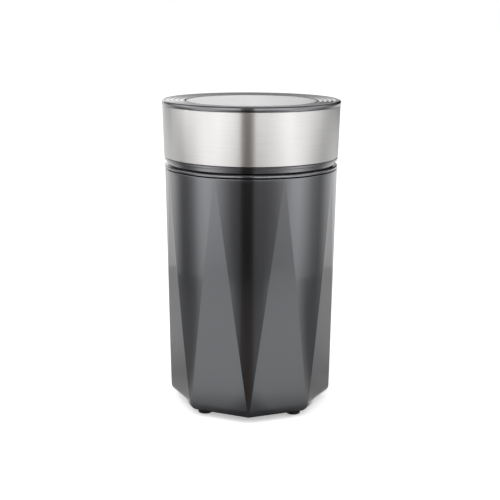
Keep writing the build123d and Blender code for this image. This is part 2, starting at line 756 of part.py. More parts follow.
with BuildPart() as switch_terminals:
    with Locations((switch_x, switch_y, switch_bottom - terminal_length)):
        with GridLocations(terminal_pitch, 0, 3, 1):
            Box(terminal_thickness, terminal_width, terminal_length, align=standing)
save(switch_terminals, "switch_terminals")

with BuildPart() as switch_screws:
    with GridLocations(switch_screw_pitch, 0, 2, 1):
        head_y = switch_y + switch_thickness / 2
        with Locations(Location((switch_x, head_y, switch_bottom + switch_height / 2), (-90, 0, 0))):
            Cylinder(switch_screw_head_radius, switch_screw_head_height, align=standing)
            Cylinder(switch_screw_radius, switch_thickness + switch_wall,
                     align=(Align.CENTER, Align.CENTER, Align.MAX))
save(switch_screws, "switch_screws")

with BuildPart() as switch_lever:
    with Locations((lever_tip, switch_y, pivot_z)):
        Box(lever_arm + lever_tip, lever_width, lever_thickness,
            align=(Align.MAX, Align.CENTER, Align.CENTER))
    with Locations(Location((-lever_arm, switch_y, pivot_z), (-90, 0, 0))):
        Cylinder(pivot_barrel_radius, lever_width)
        Cylinder(pivot_radius, lever_width + 2 * (running_gap + ear_thickness))
save(switch_lever, "switch_lever")

with BuildPart() as switch_button:
    with Locations((-lever_arm * button_arm_share, switch_y, switch_top - button_depth)):
        Cylinder(button_radius, pivot_z - lever_thickness / 2 - seat_gap - switch_top + button_depth,
                 align=standing)
    fillet(switch_button.edges().group_by(Axis.Z)[-1], radius=button_radius * button_round_share)
save(switch_button, "switch_button")

# Plunger that carries the lid and works the switch, with its return spring
with BuildPart() as press_plunger:
    with Locations((0, plunger_y, foot_bottom + plunger_radius)):
        Cylinder(plunger_radius, plunger_top - foot_bottom - plunger_radius, align=standing)
    with Locations((0, plunger_y, plunger_body_bottom)):
        Cylinder(plunger_body_radius, plunger_body_top - plunger_body_bottom, align=standing)
    with BuildSketch(Plane.XZ.offset(-plunger_y)):
        with Locations((0, foot_bottom + plunger_radius)):
            Circle(plunger_radius)
        with Locations((0, (foot_bottom + plunger_radius + foot_top) / 2)):
            Rectangle(2 * plunger_radius, foot_top - foot_bottom - plunger_radius)
    extrude(amount=plunger_y - switch_y + lever_width / 2)
save(press_plunger, "press_plunger")

with BuildPart() as return_spring:
    spring_radius = plunger_body_radius - spring_wire / 2
    spring_length = plunger_body_bottom - deck_top - spring_wire - 2 * seat_gap
    with BuildLine(Plane.XY.offset(deck_top + spring_wire / 2 + seat_gap)):
        coil = Helix(spring_length / spring_turns, spring_length, spring_radius)
    with BuildSketch(Plane(coil @ 0, z_dir=coil % 0)):
        Circle(spring_wire / 2)
    sweep(path=coil, is_frenet=True)
return_spring.part.position = (0, plunger_y, 0)
save(return_spring, "return_spring")

# Lid: inner wall, steel band, ribbed top ring, clear liner with the window, and the seal
liner_flange_top = band_top - seat_gap
liner_flange_bottom = liner_flange_top - liner_flange_thickness
ceiling_bottom = liner_flange_bottom - ceiling_step
ceiling_inner = liner_flange_radius + slide_gap
with BuildPart() as lid_body:
    with BuildSketch(Plane.XZ):
        lip_radius = band_bottom_radius - lip_inset
        backing_gap = band_thickness + seat_gap
        with BuildLine():
            lip_start = (lip_radius - lip_round, lid_bottom)
            lip_end = (lip_radius, lid_bottom + lip_round)
            TangentArc(lip_start, lip_end, tangent=(1, 0))
            Polyline(lip_end, (lip_radius, band_bottom - lip_chamfer), (lip_radius - lip_chamfer, band_bottom),
                     (band_bottom_radius - backing_gap, band_bottom),
                     (band_top_radius - backing_gap, band_top), (ceiling_inner, band_top),
                     (ceiling_inner, liner_flange_bottom), (window_radius + slide_gap, liner_flange_bottom),
                     (window_radius + slide_gap, ceiling_bottom), (lid_inner, ceiling_bottom),
                     (lid_inner, lid_bottom), lip_start)
        make_face()
    revolve(axis=Axis.Z)
    tab_inner = plunger_y - tab_thickness / 2
    with Locations((0, tab_inner, plunger_top)):
        Box(tab_width, tab_thickness, ceiling_bottom - plunger_top,
            align=(Align.CENTER, Align.MIN, Align.MIN))
    with Locations((0, tab_inner, neck_top + press_travel + slide_gap)):
        Box(tab_width, lid_inner + seat_gap - tab_inner, ceiling_bottom - neck_top - press_travel - slide_gap,
            align=(Align.CENTER, Align.MIN, Align.MIN))
save(lid_body, "lid_body")

with BuildPart() as lid_band:
    with BuildSketch(Plane.XZ):
        with BuildLine():
            Polyline((band_bottom_radius, band_bottom), (band_top_radius, band_top),
                     (band_top_radius - band_thickness, band_top),
                     (band_bottom_radius - band_thickness, band_bottom), close=True)
        make_face()
    revolve(axis=Axis.Z)
save(lid_band, "lid_band")

with BuildPart() as lid_ring:
    with BuildSketch(Plane.XZ):
        ring_inner = window_radius + window_gap
        rib_start = ring_inner + ring_inner_land
        rib_end = ring_radius - ring_outer_land
        rib_pitch = (rib_end - rib_start) / rib_count
        dish_step = ring_dish / rib_count
        land_top = ring_top - ring_dish
        with BuildLine():
            Polyline((rib_start, land_top - rib_depth), (rib_start, land_top), (ring_inner, land_top),
                     (ring_inner, band_top), (ring_radius, band_top), (ring_radius, ring_top - ring_round))
            CenterArc((ring_radius - ring_round, ring_top - ring_round), ring_round, 0, 90)
            Polyline((ring_radius - ring_round, ring_top), (rib_end, ring_top), (rib_end, ring_top - rib_depth))
            for rib in range(rib_count):
                foot_r = rib_start + rib * rib_pitch
                foot_z = land_top - rib_depth + rib * dish_step
                crest = (foot_r + rib_pitch / 2, foot_z + dish_step / 2 + rib_depth)
                ThreePointArc((foot_r, foot_z), crest, (foot_r + rib_pitch, foot_z + dish_step))
        make_face()
    revolve(axis=Axis.Z)
save(lid_ring, "lid_ring")

lid_seal_bottom = bowl_rim + press_travel + slide_gap
lid_seal_top = lid_seal_bottom + lid_seal_height
lid_seal_radius = window_radius + lid_seal_width
with BuildPart() as lid_liner:
    with BuildSketch(Plane.XZ):
        window_top = ring_top - window_drop
        with BuildLine():
            Polyline((0, window_top), (window_radius - window_chamfer, window_top),
                     (window_radius, window_top - window_chamfer), (window_radius, liner_flange_top),
                     (liner_flange_radius, liner_flange_top), (liner_flange_radius, liner_flange_bottom),
                     (window_radius, liner_flange_bottom), (window_radius, lid_seal_top + liner_wall),
                     (lid_seal_radius, lid_seal_top + liner_wall), (lid_seal_radius, lid_seal_top),
                     (window_radius, lid_seal_top), (window_radius, bowl_rim - liner_depth),
                     (liner_inner, bowl_rim - liner_depth), (liner_inner, window_top - window_thickness),
                     (0, window_top - window_thickness), close=True)
        make_face()
    revolve(axis=Axis.Z)
save(lid_liner, "lid_liner")

with BuildPart() as lid_seal:
    tube(lid_seal_radius, window_radius + seat_gap, lid_seal_bottom, lid_seal_top)
save(lid_seal, "lid_seal")

# Base plate with its vents, and the tongue that closes the cord slot below the gland
tongue_width = 2 * (gland_radius + seat_gap - slide_gap)
with BuildPart() as cord_tongue:
    add(outer_form)
    with Locations((0, opening_apothem + slide_gap, shell_bottom)):
        Box(tongue_width, shell_top_radius, ledge_thickness + plate_thickness,
            align=(Align.CENTER, Align.MIN, Align.MIN), mode=Mode.INTERSECT)

with BuildPart() as base_plate:
    with BuildSketch(Plane.XY.offset(shell_bottom)):
        RegularPolygon(plate_apothem, flat_count, major_radius=False, rotation=half_turn)
    extrude(amount=plate_thickness)
    add(cord_tongue.part)
    with PolarLocations(base_screw_circle, quarter, start_angle=screw_angle):
        with Locations((0, 0, shell_bottom)):
            Cylinder(base_screw_radius + seat_gap, plate_thickness, align=standing, mode=Mode.SUBTRACT)
            Cylinder(base_screw_head_radius + seat_gap, base_screw_head_height, align=standing,
                     mode=Mode.SUBTRACT)
    with PolarLocations(foot_circle, quarter, start_angle=post_angle):
        with Locations((0, 0, shell_bottom)):
            Cylinder(foot_stem_radius + seat_gap, plate_thickness, align=standing, mode=Mode.SUBTRACT)
    with BuildSketch(Plane.XY.offset(shell_bottom)):
        with GridLocations(0, vent_pitch, 1, vent_count):
            SlotOverall(vent_length, vent_width)
    extrude(amount=plate_thickness, mode=Mode.SUBTRACT)
save(base_plate, "base_plate")

with BuildPart() as base_screws:
    with PolarLocations(base_screw_circle, quarter, start_angle=screw_angle):
        with Locations((0, 0, shell_bottom + seat_gap)):
            Cylinder(base_screw_head_radius, base_screw_head_height - seat_gap, align=standing)
            Cylinder(base_screw_radius, base_screw_length, align=standing)
save(base_screws, "base_screws")

with BuildPart() as rubber_feet:
    with PolarLocations(foot_circle, quarter, start_angle=post_angle):
        Cylinder(foot_radius, foot_height, align=standing)
        with Locations((0, 0, foot_height)):
            Cylinder(foot_stem_radius, plate_thickness, align=standing)
    fillet(rubber_feet.edges().filter_by(GeomType.CIRCLE).group_by(Axis.Z)[0], radius=foot_bottom_round)
save(rubber_feet, "rubber_feet")

# Rubber gland in the rear flat, flanged both sides of the wall
gland_inner_y = flat_distance(gland_height - gland_flange_radius) - shell_wall - seat_gap
gland_outer_y = flat_distance(gland_height + gland_flange_radius) + seat_gap
with BuildPart() as cord_gland:
    with Locations(Location((0, gland_inner_y - gland_flange_thickness, gland_height), (-90, 0, 0))):
        gland_length = gland_outer_y - gland_inner_y + 2 * gland_flange_thickness
        Cylinder(gland_radius, gland_length, align=standing)
        Cylinder(gland_flange_radius, gland_flange_thickness, align=standing)
        with Locations((0, 0, gland_length - gland_flange_thickness)):
            Cylinder(gland_flange_radius, gland_flange_thickness, align=standing)
        Cylinder(gland_bore_radius, gland_length, align=standing, mode=Mode.SUBTRACT)
save(cord_gland, "cord_gland")

with BuildPart() as suppressor:
    with PolarLocations(flat_base_distance - shell_wall - suppressor_margin, 1, start_angle=lug_angle):
        with Locations((0, 0, ledge_top)):
            Box(suppressor_width, suppressor_length, suppressor_height,
                align=(Align.MAX, Align.CENTER, Align.MIN))
    fillet(suppressor.edges().filter_by(Axis.Z), radius=suppressor_round)
save(suppressor, "suppressor")
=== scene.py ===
"""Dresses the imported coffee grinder: lacquered faceted body, steel-banded press lid, stage and camera."""

import json
import math

import bmesh
import bpy
from bpy.props import FloatProperty, FloatVectorProperty, IntProperty, PointerProperty
from mathutils import Matrix, Vector

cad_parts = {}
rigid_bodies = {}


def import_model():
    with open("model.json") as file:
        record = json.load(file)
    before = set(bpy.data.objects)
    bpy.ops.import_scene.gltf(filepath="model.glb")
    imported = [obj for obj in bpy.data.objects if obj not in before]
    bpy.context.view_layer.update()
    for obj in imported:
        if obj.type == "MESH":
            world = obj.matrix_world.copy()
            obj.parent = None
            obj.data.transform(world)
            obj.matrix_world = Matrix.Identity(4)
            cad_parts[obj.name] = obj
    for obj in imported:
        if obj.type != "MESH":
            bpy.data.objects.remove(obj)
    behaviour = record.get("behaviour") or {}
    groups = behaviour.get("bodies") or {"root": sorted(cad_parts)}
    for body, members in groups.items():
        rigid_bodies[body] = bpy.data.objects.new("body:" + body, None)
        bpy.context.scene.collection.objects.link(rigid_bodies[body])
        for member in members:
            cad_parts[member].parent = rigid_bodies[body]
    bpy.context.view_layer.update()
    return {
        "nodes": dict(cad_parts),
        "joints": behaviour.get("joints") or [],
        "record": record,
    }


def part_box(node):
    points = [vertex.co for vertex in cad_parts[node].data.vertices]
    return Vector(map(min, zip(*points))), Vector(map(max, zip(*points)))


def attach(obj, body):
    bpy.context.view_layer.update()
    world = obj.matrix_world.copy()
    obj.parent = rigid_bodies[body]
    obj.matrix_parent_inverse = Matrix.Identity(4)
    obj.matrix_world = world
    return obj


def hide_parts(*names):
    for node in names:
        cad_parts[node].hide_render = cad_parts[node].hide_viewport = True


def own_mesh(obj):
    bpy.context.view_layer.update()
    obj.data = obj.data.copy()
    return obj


bl_info = {
    "name": "Coffee grinder",
    "version": (1, 0, 0),
    "blender": (4, 5, 0),
    "location": "View3D > Sidebar > Grinder",
    "description": "Dresses an upright coffee grinder with a faceted body and a steel-banded press lid",
    "category": "Object",
}

for leftover in list(bpy.data.objects):
    bpy.data.objects.remove(leftover)
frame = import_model()

MM = 0.001
MICRON = 0.000001
# Points closer than this are one point
WELD = 0.002 * MM
WHITE = (1, 1, 1, 1)
# Radius of the light tent, and half its height
TENT = 0.3
# Angles from the camera between which the tent's slit opens into a warm dark room
SLIT = (-12, 3)
SLIT_TINT = (1.16, 1.0, 0.9)
# A light ramp holds shares of this level
TOP_LEVEL = 3

shell_low, shell_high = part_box("housing_shell")
band_low, band_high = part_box("lid_band")
ring_low, ring_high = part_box("lid_ring")
blade_low, blade_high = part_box("blade")
spring_low, spring_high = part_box("return_spring")
feet_low, feet_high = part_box("rubber_feet")
screws_low, screws_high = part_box("base_screws")
gland_low, gland_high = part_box("cord_gland")
lid_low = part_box("lid_body")[0]
plate_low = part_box("base_plate")[0]
collar_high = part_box("collar")[1]
plunger_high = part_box("press_plunger")[1]
press = next(joint for joint in frame["joints"] if joint["name"] == "lid_press")


def linear(code):
    """Turns an sRGB hex code such as #8090a0 into linear red, green and blue."""
    parts = [int(code[place:place + 2], 16) / 255 for place in (1, 3, 5)]
    return [part / 12.92 if part <= 0.04045 else ((part + 0.055) / 1.055) ** 2.4 for part in parts]


def length(name, description, default):
    """A length property, with its default in millimetres."""
    return FloatProperty(name=name, description=description, default=default * MM, subtype="DISTANCE",
                         unit="LENGTH")


def paint(name, description, default):
    """A colour property, with its default as an sRGB hex code."""
    return FloatVectorProperty(name=name, description=description, default=linear(default), subtype="COLOR",
                               min=0, max=1)


class BodySizes(bpy.types.PropertyGroup):
    """Sizes and colour of the faceted body"""

    flats: IntProperty(name="Flats", description="Flats cut round the body", default=8, min=3)
    foot_radius: length("Foot radius", "Radius of the round wall's foot, before the flats", 41.6)
    flat_depth: length("Flat depth", "How far a flat would cut in at table height", 3.3124)
    runout: length("Run-out height", "Height where the flats fade into the round wall", 125.8)
    wall: length("Wall", "Thickness of the moulded wall", 2.2)
    foot_round_height: length("Foot rounding height", "Height of the flats' rounding at the foot", 5.0)
    foot_round_inset: length("Foot rounding inset", "How far the flats turn in at the foot", 3.5)
    top_edge: length("Top edge", "Rounding of the wall's top edge at the seam", 0.25)
    recess: length("Plate recess", "Distance of the recess's sides from the axis", 33.73)
    opening: length("Foot opening", "Distance of the opening's sides from the axis", 26.53)
    ledge: length("Ledge", "Thickness of the ledge over the base plate", 3.0)
    slot_radius: length("Cord slot radius", "Half the width of the slot for the cord gland", 4.45)
    colour: paint("Lacquer", "Colour of the metallic lacquer", "#5c5d60")


class LidSizes(bpy.types.PropertyGroup):
    """Sizes and colours of the lid: its body, steel band and ribbed ring"""

    band_foot_radius: length("Band foot radius", "Outer radius of the band at its lower edge", 43.95)
    band_sheet: length("Band sheet", "Thickness of the band's sheet", 0.5)
    band_backing: length("Band backing", "Distance of the lid's wall from the band's outside", 0.6)
    lip_inset: length("Lip inset", "How far the lip stands back from the band", 0.1)
    lip_round: length("Lip rounding", "Rounding of the lip's lower edge", 0.4)
    lip_chamfer: length("Lip chamfer", "Chamfer of the lip under the band", 0.45)
    lid_inner: length("Lid inside", "Radius of the lid's inner wall", 42.5)
    ceiling_hole: length("Ceiling hole", "Radius of the ceiling's hole round the liner", 33.524)
    ceiling_depth: length("Ceiling depth", "How far the ceiling's underside lies below the top", 3.5)
    flange_room: length("Flange room", "Radius of the step for the liner's flange", 36.624)
    flange_depth: length("Flange depth", "Depth of the step for the liner's flange", 1.9)
    tab_width: length("Tab width", "Width of the tab that presses the plunger", 6.0)
    tab_thickness: length("Tab thickness", "Thickness of the tab that presses the plunger", 2.8)
    tab_clearance: length("Tab clearance", "Gap left over the neck when the lid is pressed", 0.3)
    ribs: IntProperty(name="Ribs", description="Concentric ribs on the top ring", default=4, min=1)
    rib_depth: length("Rib depth", "Height of a rib over the valley beside it", 0.8)
    ring_dish: length("Ring dish", "How far the ring's inner rim lies below its outer rim", 0.4)
    ring_inner: length("Ring hole", "Radius of the hole in the ring, round the window", 33.724)
    inner_land: length("Inner land", "Plain rim between the hole and the ribs", 0.6)
    outer_land: length("Outer land", "Plain rim between the ribs and the outside", 1.3)
    ring_round: length("Ring rounding", "Rounding of the ring's outer top edge", 1.1)
    colour: paint("Steel", "Colour of the brushed steel", "#d5d4d3")
    lacquer: paint("Lacquer", "Colour of the gloss lacquer on lid and collar", "#5e5e61")


class InnerSizes(bpy.types.PropertyGroup):
    """Sizes of the blade, return spring, feet, screws and gland"""

    blade_sheet: length("Blade sheet", "Thickness of the blade's strip", 1.6)
    blade_tip_width: length("Blade tip width", "Width of the blade at its tips", 6.0)
    blade_tip_length: length("Blade tip length", "Length of each bent tip along the blade", 11.5)
    blade_tip_rise: length("Blade tip rise", "Height that a tip is bent up or down", 3.2)
    blade_bevel: length("Blade bevel", "Width of the ground cutting edge", 1.7)
    blade_hub: length("Blade hub", "Radius round the hub that is left unground", 9.0)
    spring_turns: IntProperty(
        name="Spring turns", description="Turns of the return spring", default=7, min=1)
    spring_wire: length("Spring wire", "Thickness of the return spring's wire", 0.5)
    foot_radius: length("Foot radius", "Radius of a rubber foot", 3.6)
    foot_circle: length("Foot circle", "Radius of the circle that the feet stand on", 31.858)
    screw_circle: length("Screw circle", "Radius of the circle of base screws", 32.075)
    screw_head: length("Screw head", "Radius of a base screw's head", 2.6)
    screw_shank: length("Screw shank", "Radius of a base screw's shank", 1.4)
    gland_bore: length("Gland bore", "Radius of the hole for the cord", 3.3)
    gland_radius: length("Gland body", "Radius of the gland between its flanges", 4.4)
    gland_flange: length("Gland flange", "Thickness of a gland flange", 1.2)


class StageSettings(bpy.types.PropertyGroup):
    """Camera and light of the studio stage"""

    bearing: FloatProperty(
        name="Bearing", description="Angle of the camera round the axis, from the front flat",
        default=math.radians(23.494), subtype="ANGLE", unit="ROTATION")
    distance: length("Distance", "Level distance of the camera from the axis", 563.6)
    height: length("Height", "Height of the camera over the table", 204.86)
    sideways: length("Sideways", "Shift of the camera to its right", -0.351)
    pitch: FloatProperty(
        name="Pitch", description="Angle that the camera looks down by",
        default=math.radians(12.467), subtype="ANGLE", unit="ROTATION")
    roll: FloatProperty(
        name="Roll", description="Turn of the camera about its line of sight",
        default=0.005, subtype="ANGLE", unit="ROTATION")
    lens: FloatProperty(
        name="Lens", description="Focal length in millimetres on a 36 mm wide frame", default=80.23)
    light: FloatProperty(
        name="Light", description="Level of the studio light on the object", default=1.0, min=0)


def add_node(tree, kind, inputs=(), **settings):
    """Adds a node with its settings and its inputs; a node given as an input links its first output."""
    node = tree.nodes.new(kind)
    for key, value in settings.items():
        setattr(node, key, value)
    for key, value in dict(inputs).items():
        if isinstance(value, bpy.types.Node):
            value = value.outputs[0]
        if isinstance(value, bpy.types.NodeSocket):
            tree.links.new(value, node.inputs[key])
        else:
            node.inputs[key].default_value = value
    return node


def per_mm(size):
    """Texture scale, on coordinates in metres, for a pattern whose features are that many millimetres."""
    return 1000 / size


def opaque(colour):
    """Linear red, green and blue with full alpha."""
    return (*colour, 1)


def varied(colour, share):
    """A colour made darker and lighter by a share."""
    return [[min(1, part * way) for part in colour] for way in (1 - share, 1 + share)]


def new_material(name):
    """Starts a material: returns it and its empty tree."""
    material = bpy.data.materials.new(name)
    material.use_nodes = True
    material.node_tree.nodes.clear()
    return material, material.node_tree


def new_finish(name):
    """Starts a finish: returns its material, the empty tree and the object coordinates."""
    material, tree = new_material(name)
    return material, tree, add_node(tree, "ShaderNodeTexCoord").outputs["Object"]


def end_finish(material, pattern, colours, gloss, relief, depth, **sockets):
    """Ends a finish: the pattern runs between two colours and two roughnesses; depth is in micrometres."""
    tree = material.node_tree
    shade = add_node(tree, "ShaderNodeMix", {0: pattern, 6: opaque(colours[0]), 7: opaque(colours[1])},
                     data_type="RGBA")
    rough = add_node(tree, "ShaderNodeMapRange", {"Value": pattern, "To Min": gloss[0], "To Max": gloss[1]})
    bump = add_node(tree, "ShaderNodeBump", {"Height": relief, "Distance": depth * MICRON})
    given = {key.replace("_", " "): value for key, value in sockets.items()}
    shader = add_node(tree, "ShaderNodeBsdfPrincipled", {
        "Base Color": shade.outputs[2], "Roughness": rough, "Normal": bump, **given})
    add_node(tree, "ShaderNodeOutputMaterial", {"Surface": shader})
    return material


def graphite_lacquer(name, colour, flake, gloss, coat_blur):
    """Metallic lacquer sprayed on moulded ABS: a dark metal sheen of fine flake under a clear glossy coat."""
    material, tree, place = new_finish(name)
    # Real flakes are some 0.03 mm; they are drawn larger so that their sparkle shows at all.
    flakes = add_node(tree, "ShaderNodeTexVoronoi", {"Vector": place, "Scale": per_mm(flake)})
    tone = add_node(tree, "ShaderNodeSeparateColor", {"Color": flakes.outputs["Color"]})
    # The spray's orange peel, some 2 mm across and 2 micrometres deep
    peel = add_node(tree, "ShaderNodeTexNoise", {"Vector": place, "Scale": per_mm(2.2), "Detail": 1.0})
    return end_finish(material, tone, varied(colour, 0.025), gloss, peel, 2, Metallic=1.0, Coat_Weight=1.0,
                      Coat_Roughness=coat_blur, Coat_IOR=1.5)


def brushed_stainless(name, colour, streak, width, spread, gloss, depth):
    """Stainless steel brushed or turned round the axis: a blur across the lines and streaks along them."""
    material, tree, place = new_finish(name)
    tangent = add_node(tree, "ShaderNodeTangent", direction_type="RADIAL", axis="Z")
    # The grit leaves lines of 0.05 mm; they are drawn wider and some 20 to 30 mm long so that they show.
    along = add_node(tree, "ShaderNodeMapping",
                     {"Vector": place, "Scale": (per_mm(streak), per_mm(streak), per_mm(width))})
    streaks = add_node(tree, "ShaderNodeTexNoise",
                       {"Vector": along, "Scale": 1.0, "Detail": 3.0, "Roughness": 0.7})
    return end_finish(material, streaks, varied(colour, spread), gloss, streaks, depth, Metallic=1.0,
                      Anisotropic=1.0, Anisotropic_Rotation=0.25, Tangent=tangent)


def clear_san():
    """Clear SAN moulding: transparent and glossy, with a faint haze of wiping some 14 mm across."""
    material, tree, place = new_finish("clear_san")
    haze = add_node(tree, "ShaderNodeTexNoise", {"Vector": place, "Scale": per_mm(14), "Detail": 3.0})
    return end_finish(material, haze, (linear("#f4f8f8"), linear("#fdfefe")), (0.01, 0.05), haze, 1,
                      IOR=1.57, Transmission_Weight=1.0)


def grained(name, dark, light, grain, depth, gloss, metallic=0.0):
    """A moulded, cast, sintered or pressed surface: an even grain in colour, gloss and relief."""
    material, tree, place = new_finish(name)
    grains = add_node(tree, "ShaderNodeTexNoise",
                      {"Vector": place, "Scale": per_mm(grain), "Detail": 3.0, "Roughness": 0.6})
    return end_finish(material, grains, (linear(dark), linear(light)), gloss, grains, depth,
                      Metallic=metallic)


def layered(name, dark, light, pitch, depth, gloss):
    """Stacked sheet or wound wire: lines at an even pitch up the axis."""
    material, tree, place = new_finish(name)
    # A wave texture of scale 1 repeats every pi / 10 metres
    lines = add_node(tree, "ShaderNodeTexWave", {
        "Vector": place, "Scale": per_mm(pitch) * math.pi / 10, "Distortion": 0.6, "Detail": 2.0},
        bands_direction="Z").outputs["Fac"]
    return end_finish(material, lines, (linear(dark), linear(light)), gloss, lines, depth, Metallic=1.0)


def make_finishes(scene):
    """One material for each slot of the record."""
    body, lid = scene.grinder_body, scene.grinder_lid
    return {
        "graphite_body": graphite_lacquer("satin_graphite_lacquer", body.colour, 0.3, (0.20, 0.24), 0.06),
        "gloss_graphite": graphite_lacquer("gloss_graphite_lacquer", lid.lacquer, 0.2, (0.16, 0.22), 0.03),
        "brushed_band": brushed_stainless("brushed_stainless", lid.colour, 30, 0.3, 0.12, (0.32, 0.40), 2),
        # Drawn and polished steel: brighter, with turning lines that are only just seen
        "polished_steel": brushed_stainless(
            "polished_stainless", linear("#c6c6c4"), 20, 0.5, 0.07, (0.16, 0.24), 1),
        "clear_window": clear_san(),
        # Matt rubber from an etched mould, bloomed a little grey
        "black_rubber": grained("moulded_rubber", "#151515", "#232323", 0.35, 10, (0.62, 0.85)),
        # Translucent silicone, drawn as its pale satin skin
        "silicone": grained("moulded_silicone", "#b9b9b4", "#d2d2cd", 1.2, 4, (0.35, 0.5)),
        # Black moulding from a spark-eroded mould: fine pits of 0.4 mm
        "black_moulding": grained("spark_textured_abs", "#121213", "#202021", 0.4, 15, (0.45, 0.62)),
        # Natural nylon: ivory, satin, a little cloudy
        "nylon_moulding": grained("natural_nylon", "#bdb6a2", "#d8d2c0", 2.0, 4, (0.38, 0.5)),
        # Varnished laminations of 0.5 mm stacked along the axis
        "lamination_steel": layered("stacked_lamination_steel", "#3c3d40", "#85868a", 0.5, 50, (0.38, 0.55)),
        # Enamelled wire of 0.4 mm laid in coils
        "copper": layered("enamelled_copper", "#7a3a1c", "#c4713c", 0.4, 70, (0.25, 0.4)),
        # Sintered bronze: porous and oil-dark
        "bronze": grained("sintered_bronze", "#6b4d28", "#a37c46", 0.25, 12, (0.35, 0.55), 1.0),
        # Die-cast aluminium: satin with a cast skin
        "die_cast": grained("die_cast_aluminium", "#8d9094", "#b3b6b9", 0.8, 10, (0.4, 0.55), 1.0),
        # Bright zinc plate with passivation clouds
        "plated_steel": grained("zinc_plated_steel", "#a3a39c", "#c9c8bf", 1.5, 3, (0.24, 0.36), 1.0),
        # Stamped brass, lightly tarnished
        "terminal_brass": grained("stamped_brass", "#a07f3e", "#cda95c", 1.2, 4, (0.26, 0.42), 1.0),
        # Pressed graphite: dark, soft sheen
        "carbon": grained("pressed_graphite", "#161617", "#2b2b2d", 0.2, 8, (0.5, 0.7)),
        # Potted film capacitor: yellow satin case
        "capacitor_case": grained("potted_capacitor", "#a8861c", "#c8a438", 1.0, 5, (0.4, 0.55)),
    }


def opened(mesh):
    """A mesh as a bmesh to work on."""
    shape = bmesh.new()
    shape.from_mesh(mesh)
    return shape


def mesh_from(name, shape, crease):
    """Closes a bmesh into a mesh: doubles merged, faces outwards, edges sharp over the crease angle."""
    bmesh.ops.remove_doubles(shape, verts=shape.verts, dist=WELD)
    bmesh.ops.recalc_face_normals(shape, faces=shape.faces)
    for face in shape.faces:
        face.smooth = True
    for edge in shape.edges:
        edge.smooth = edge.calc_face_angle(0) < crease
    mesh = bpy.data.meshes.new(name)
    shape.to_mesh(mesh)
    shape.free()
    return mesh


def softened(corners, steps=4):
    """Rounds a closed outline: each corner is a point and the length of edge that its rounding takes."""
    outline = []
    for place, (x, y, reach) in enumerate(corners):
        corner = Vector((x, y))
        before, after = (Vector(corners[other][:2]) for other in (place - 1, (place + 1) % len(corners)))
        if reach == 0:
            outline.append(corner)
            continue
        start = corner + (before - corner).normalized() * reach
        end = corner + (after - corner).normalized() * reach
        for step in range(steps + 1):
            share = step / steps
            outline.append(start * (1 - share) ** 2 + corner * 2 * share * (1 - share) + end * share ** 2)
    return outline


def turned(name, outline, columns=256, crease=math.radians(30)):
    """Turns a closed outline of radius and height about +Z."""
    shape = bmesh.new()
    rings = []
    for column in range(columns):
        angle = 2 * math.pi * column / columns
        rings.append([shape.verts.new((radius * math.cos(angle), radius * math.sin(angle), height))
                      for radius, height in outline])
    for column, here in enumerate(rings):
        there = rings[(column + 1) % columns]
        for row in range(len(outline)):
            shape.faces.new((here[row], there[row], there[row - 1], here[row - 1]))
    return mesh_from(name, shape, crease)


def lofted(shape, sections):
    """Joins a row of like sections in a bmesh and closes both ends."""
    rings = [[shape.verts.new(point) for point in section] for section in sections]
    for here, there in zip(rings, rings[1:]):
        for row in range(len(here)):
            shape.faces.new((here[row - 1], here[row], there[row], there[row - 1]))
    shape.faces.new(rings[0])
    shape.faces.new(rings[-1])


def new_tree(name, numbers, counts=()):
    """Starts a geometry tree; returns it and its inputs: geometry, counts, other numbers and material."""
    tree = bpy.data.node_groups.new(name, "GeometryNodeTree")
    kinds = {"Geometry": "Geometry", **dict.fromkeys(counts, "Int"), **dict.fromkeys(numbers, "Float"),
             "Material": "Material"}
    for label, kind in kinds.items():
        tree.interface.new_socket(label, in_out="INPUT", socket_type="NodeSocket" + kind)
    tree.interface.new_socket("Geometry", in_out="OUTPUT", socket_type="NodeSocketGeometry")
    return tree, {socket.name: socket for socket in add_node(tree, "NodeGroupInput").outputs}


def end_tree(tree, geometry, material):
    """Ends a geometry tree in real geometry with its material."""
    real = add_node(tree, "GeometryNodeRealizeInstances", {"Geometry": geometry})
    dressed = add_node(tree, "GeometryNodeSetMaterial", {"Geometry": real, "Material": material})
    add_node(tree, "NodeGroupOutput", {0: dressed})


def with_modifier(mesh, kind):
    """Puts a mesh in the scene on an object with one modifier; returns the object and the modifier."""
    holder = bpy.data.objects.new(mesh.name, mesh)
    bpy.context.scene.collection.objects.link(holder)
    return holder, holder.modifiers.new(kind, kind)


def applied(holder):
    """Turns an object and its modifier into a plain mesh, and removes the object."""
    evaluated = holder.evaluated_get(bpy.context.evaluated_depsgraph_get())
    result = bpy.data.meshes.new_from_object(evaluated)
    result.name = holder.data.name
    bpy.data.objects.remove(holder)
    return result


def grown(tree, mesh, **inputs):
    """Runs a geometry tree on a mesh and returns the result as a plain mesh."""
    holder, modifier = with_modifier(mesh, "NODES")
    modifier.node_group = tree
    for socket in tree.interface.items_tree:
        label = socket.name.lower().replace(" ", "_")
        if socket.in_out == "INPUT" and label in inputs:
            modifier[socket.identifier] = inputs[label]
    return applied(holder)


def place_piece(name, mesh, slot, body, node):
    """Puts a finished mesh in the scene as the piece that stands for a CAD node."""
    if not mesh.polygons:
        raise RuntimeError(f"{name} has no faces")
    piece = bpy.data.objects.new(name, mesh)
    bpy.context.scene.collection.objects.link(piece)
    mesh.materials.clear()
    mesh.materials.append(finishes[slot])
    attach(piece, body)
    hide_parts(node)
    return piece


